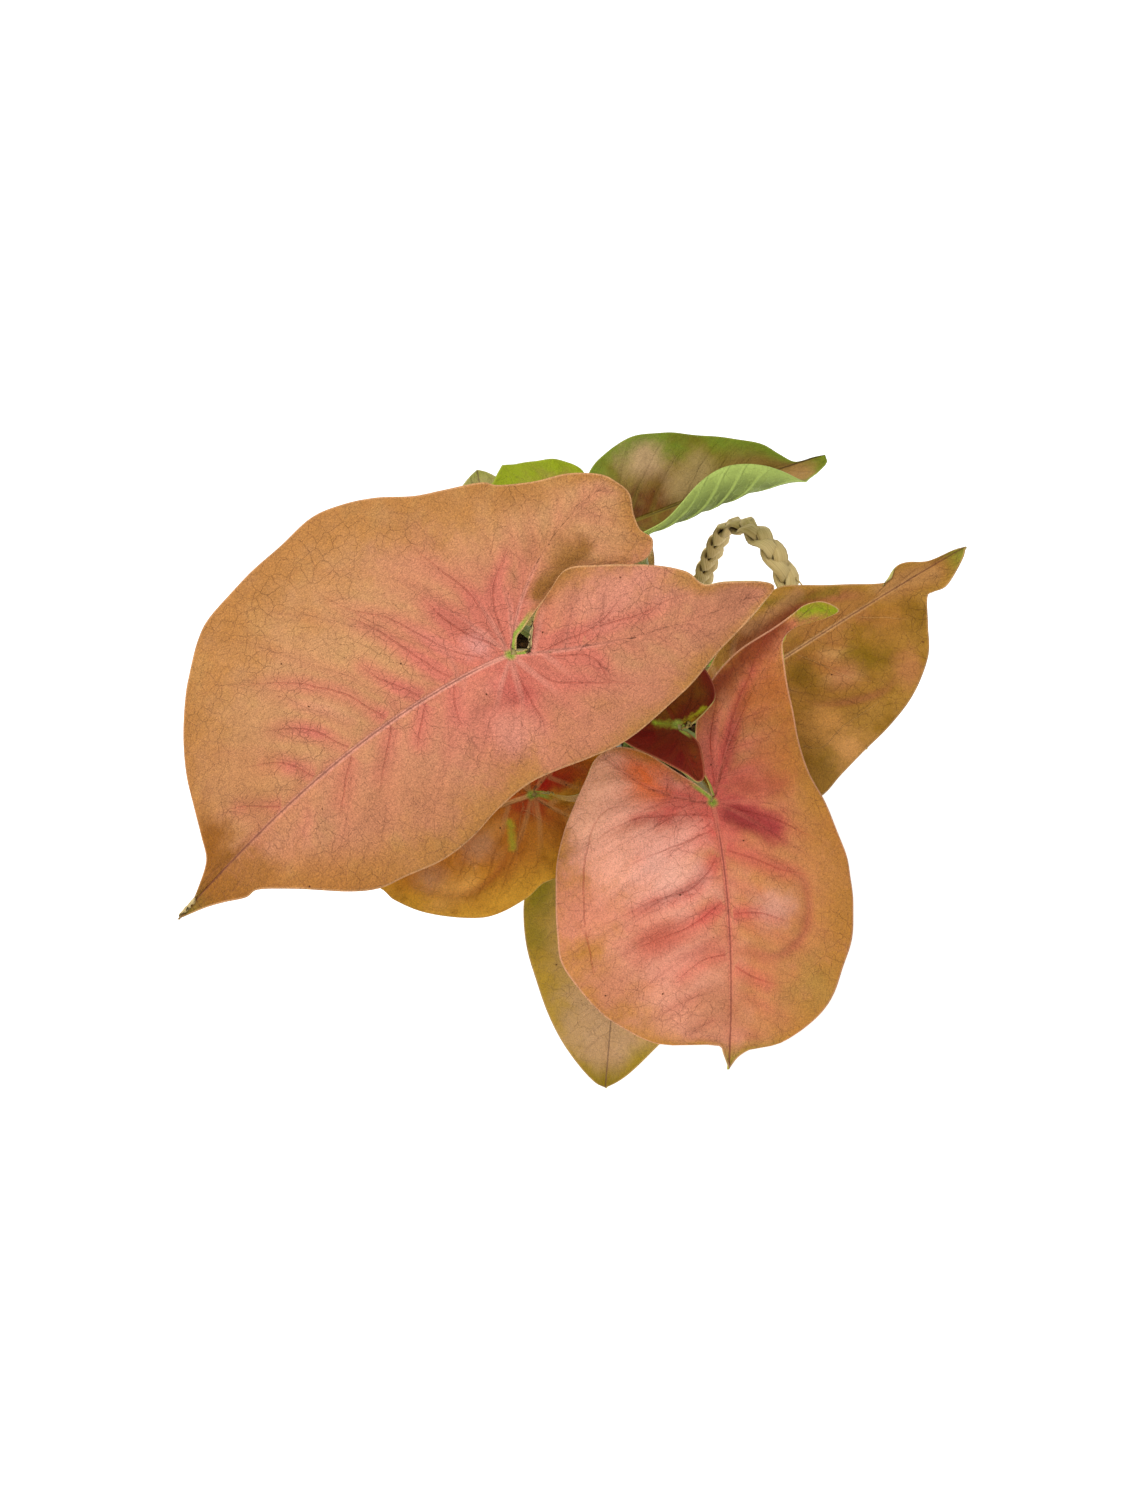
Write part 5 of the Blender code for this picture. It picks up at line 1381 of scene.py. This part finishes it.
# The dark green leaf deep in the gap by the handle: a small thin blade on a short stalk, which grows
# from the right stem.
grow(
    Leaf("leaf_inner", "stem_right", bearing=2, reach=38, height=138, heading=76, pitch=-5, length=28,
         left=arrow(28, 11, 6), right=arrow(28, 11, 6), fold=6, droop=(0.1, 0.1), wave=0.5, rise=30,
         lean=18, slot="leaf_green"),
    Coat(margin=(112, 132, 88), left=(72, 96, 52), right=(72, 96, 52), core=(84, 104, 58),
         vein=(120, 142, 88), patch=(58, 80, 40), tip=(90, 110, 60), under=(104, 128, 82), heart=8,
         band=0.3, patches=0.5, grain=0.6, net=0.5, gloss=0.5),
)

# Four lower leaves round the left, the right and the back, which the big leaves hide from the front:
# plain arrowhead blades, two of them mossier, each on its own stalk from a stem of its side.
SHADED = Coat(margin=(172, 140, 66), left=(184, 132, 84), right=(184, 132, 84), core=(196, 112, 88),
              vein=(206, 154, 112), patch=(148, 122, 50), tip=(150, 136, 60), under=(150, 140, 82),
              heart=20, band=0.6, patches=0.6, grain=0.8, net=0.8, gloss=0.5)
MOSSY = SHADED._replace(left=(158, 136, 74), right=(158, 136, 74), core=(186, 124, 92), patch=(126, 120, 48))
for leaf, coat in (
    (Leaf("leaf_left", "stem_left", bearing=173, reach=50, height=147, heading=158, pitch=12, roll=8,
          length=72, left=arrow(72, 28, 12), right=arrow(72, 25, 8), rise=45, lean=25), SHADED),
    (Leaf("leaf_back_low", "stem_back", bearing=120, reach=45, height=124, heading=132, pitch=28, length=56,
          left=arrow(56, 24, 14), right=arrow(56, 24, 14), rise=24, lean=24, slot="leaf_olive"), MOSSY),
    (Leaf("leaf_right_low", "stem_right", bearing=-20, reach=49, height=118, heading=4, pitch=24, length=54,
          left=arrow(54, 22, 13), right=arrow(54, 21, 13), rise=20, lean=26), SHADED),
    (Leaf("leaf_rear_low", "stem_back", bearing=84, reach=46, height=118, heading=92, pitch=24, length=48,
          left=arrow(48, 21, 13), right=arrow(48, 17, 13), rise=22, lean=24, slot="leaf_olive"), MOSSY),
):
    grow(leaf, coat)

# Floor, light and camera: a plain white floor under soft daylight from the upper left, made with a
# bright sky, a large softbox and a weaker one in front, seen from above at the photograph's angle.
FLOOR_HALF = 3.0
FLOOR_DROP = 0.0002             # keeps the floor just clear of the basket's base
LAMP_AIM = 0.15                 # height of the point that the softboxes face
DAYLIGHT = 0.56
CAMERA_AZIMUTH = -HANDLE_BEARING
CAMERA_ELEVATION = 70.0
CAMERA_PLACE = (-0.1462, -0.1998, 0.7365)

floor_finish, floor_place = new_finish("white_floor", {
    "Roughness": 0.9, "Specular IOR Level": 0.1,
    "Emission Color": (1.0, 1.0, 1.0, 1.0), "Emission Strength": 0.5})
dress(floor_finish, floor_place.cloud(0.6, 1.0).mix(screen(250, 250, 250), screen(253, 253, 253)))
corners = np.array([(-1, -1, 0), (1, -1, 0), (1, 1, 0), (-1, 1, 0)]) * FLOOR_HALF - (0, 0, FLOOR_DROP)
floor = put_mesh("floor", corners, [[0, 1, 2, 3]], [floor_finish])


def soft_light(name, bearing, elevation, distance, size, power):
    """A square softbox on a bearing round the plant, aimed at its middle."""
    lamp = bpy.data.lights.new(name, "AREA")
    lamp.size = size
    lamp.energy = power
    rig = bpy.data.objects.new(name, lamp)
    bpy.context.scene.collection.objects.link(rig)
    turn, tilt = radians(bearing - HANDLE_BEARING), radians(elevation)
    level = distance * cos(tilt)
    rig.location = (level * cos(turn), level * sin(turn), distance * sin(tilt) + LAMP_AIM)
    rig.rotation_euler = (pi / 2 - tilt, 0, turn + pi / 2)


soft_light("key", bearing=150, elevation=52, distance=1.6, size=0.9, power=16)
soft_light("fill", bearing=-80, elevation=35, distance=1.8, size=1.6, power=8)
world = bpy.data.worlds.new("daylight")
world.use_nodes = True
sky = world.node_tree.nodes["Background"].inputs
sky["Color"].default_value = (1.0, 1.0, 1.0, 1.0)
sky["Strength"].default_value = DAYLIGHT
bpy.context.scene.world = world

lens = bpy.data.cameras.new("camera")
lens.sensor_fit = "VERTICAL"
lens.sensor_height = 36
lens.lens = 48
camera = bpy.data.objects.new("camera", lens)
bpy.context.scene.collection.objects.link(camera)
camera.location = CAMERA_PLACE
camera.rotation_euler = (radians(90 - CAMERA_ELEVATION), 0, radians(CAMERA_AZIMUTH))
bpy.context.scene.camera = camera
bpy.context.scene.view_settings.view_transform = "Standard"
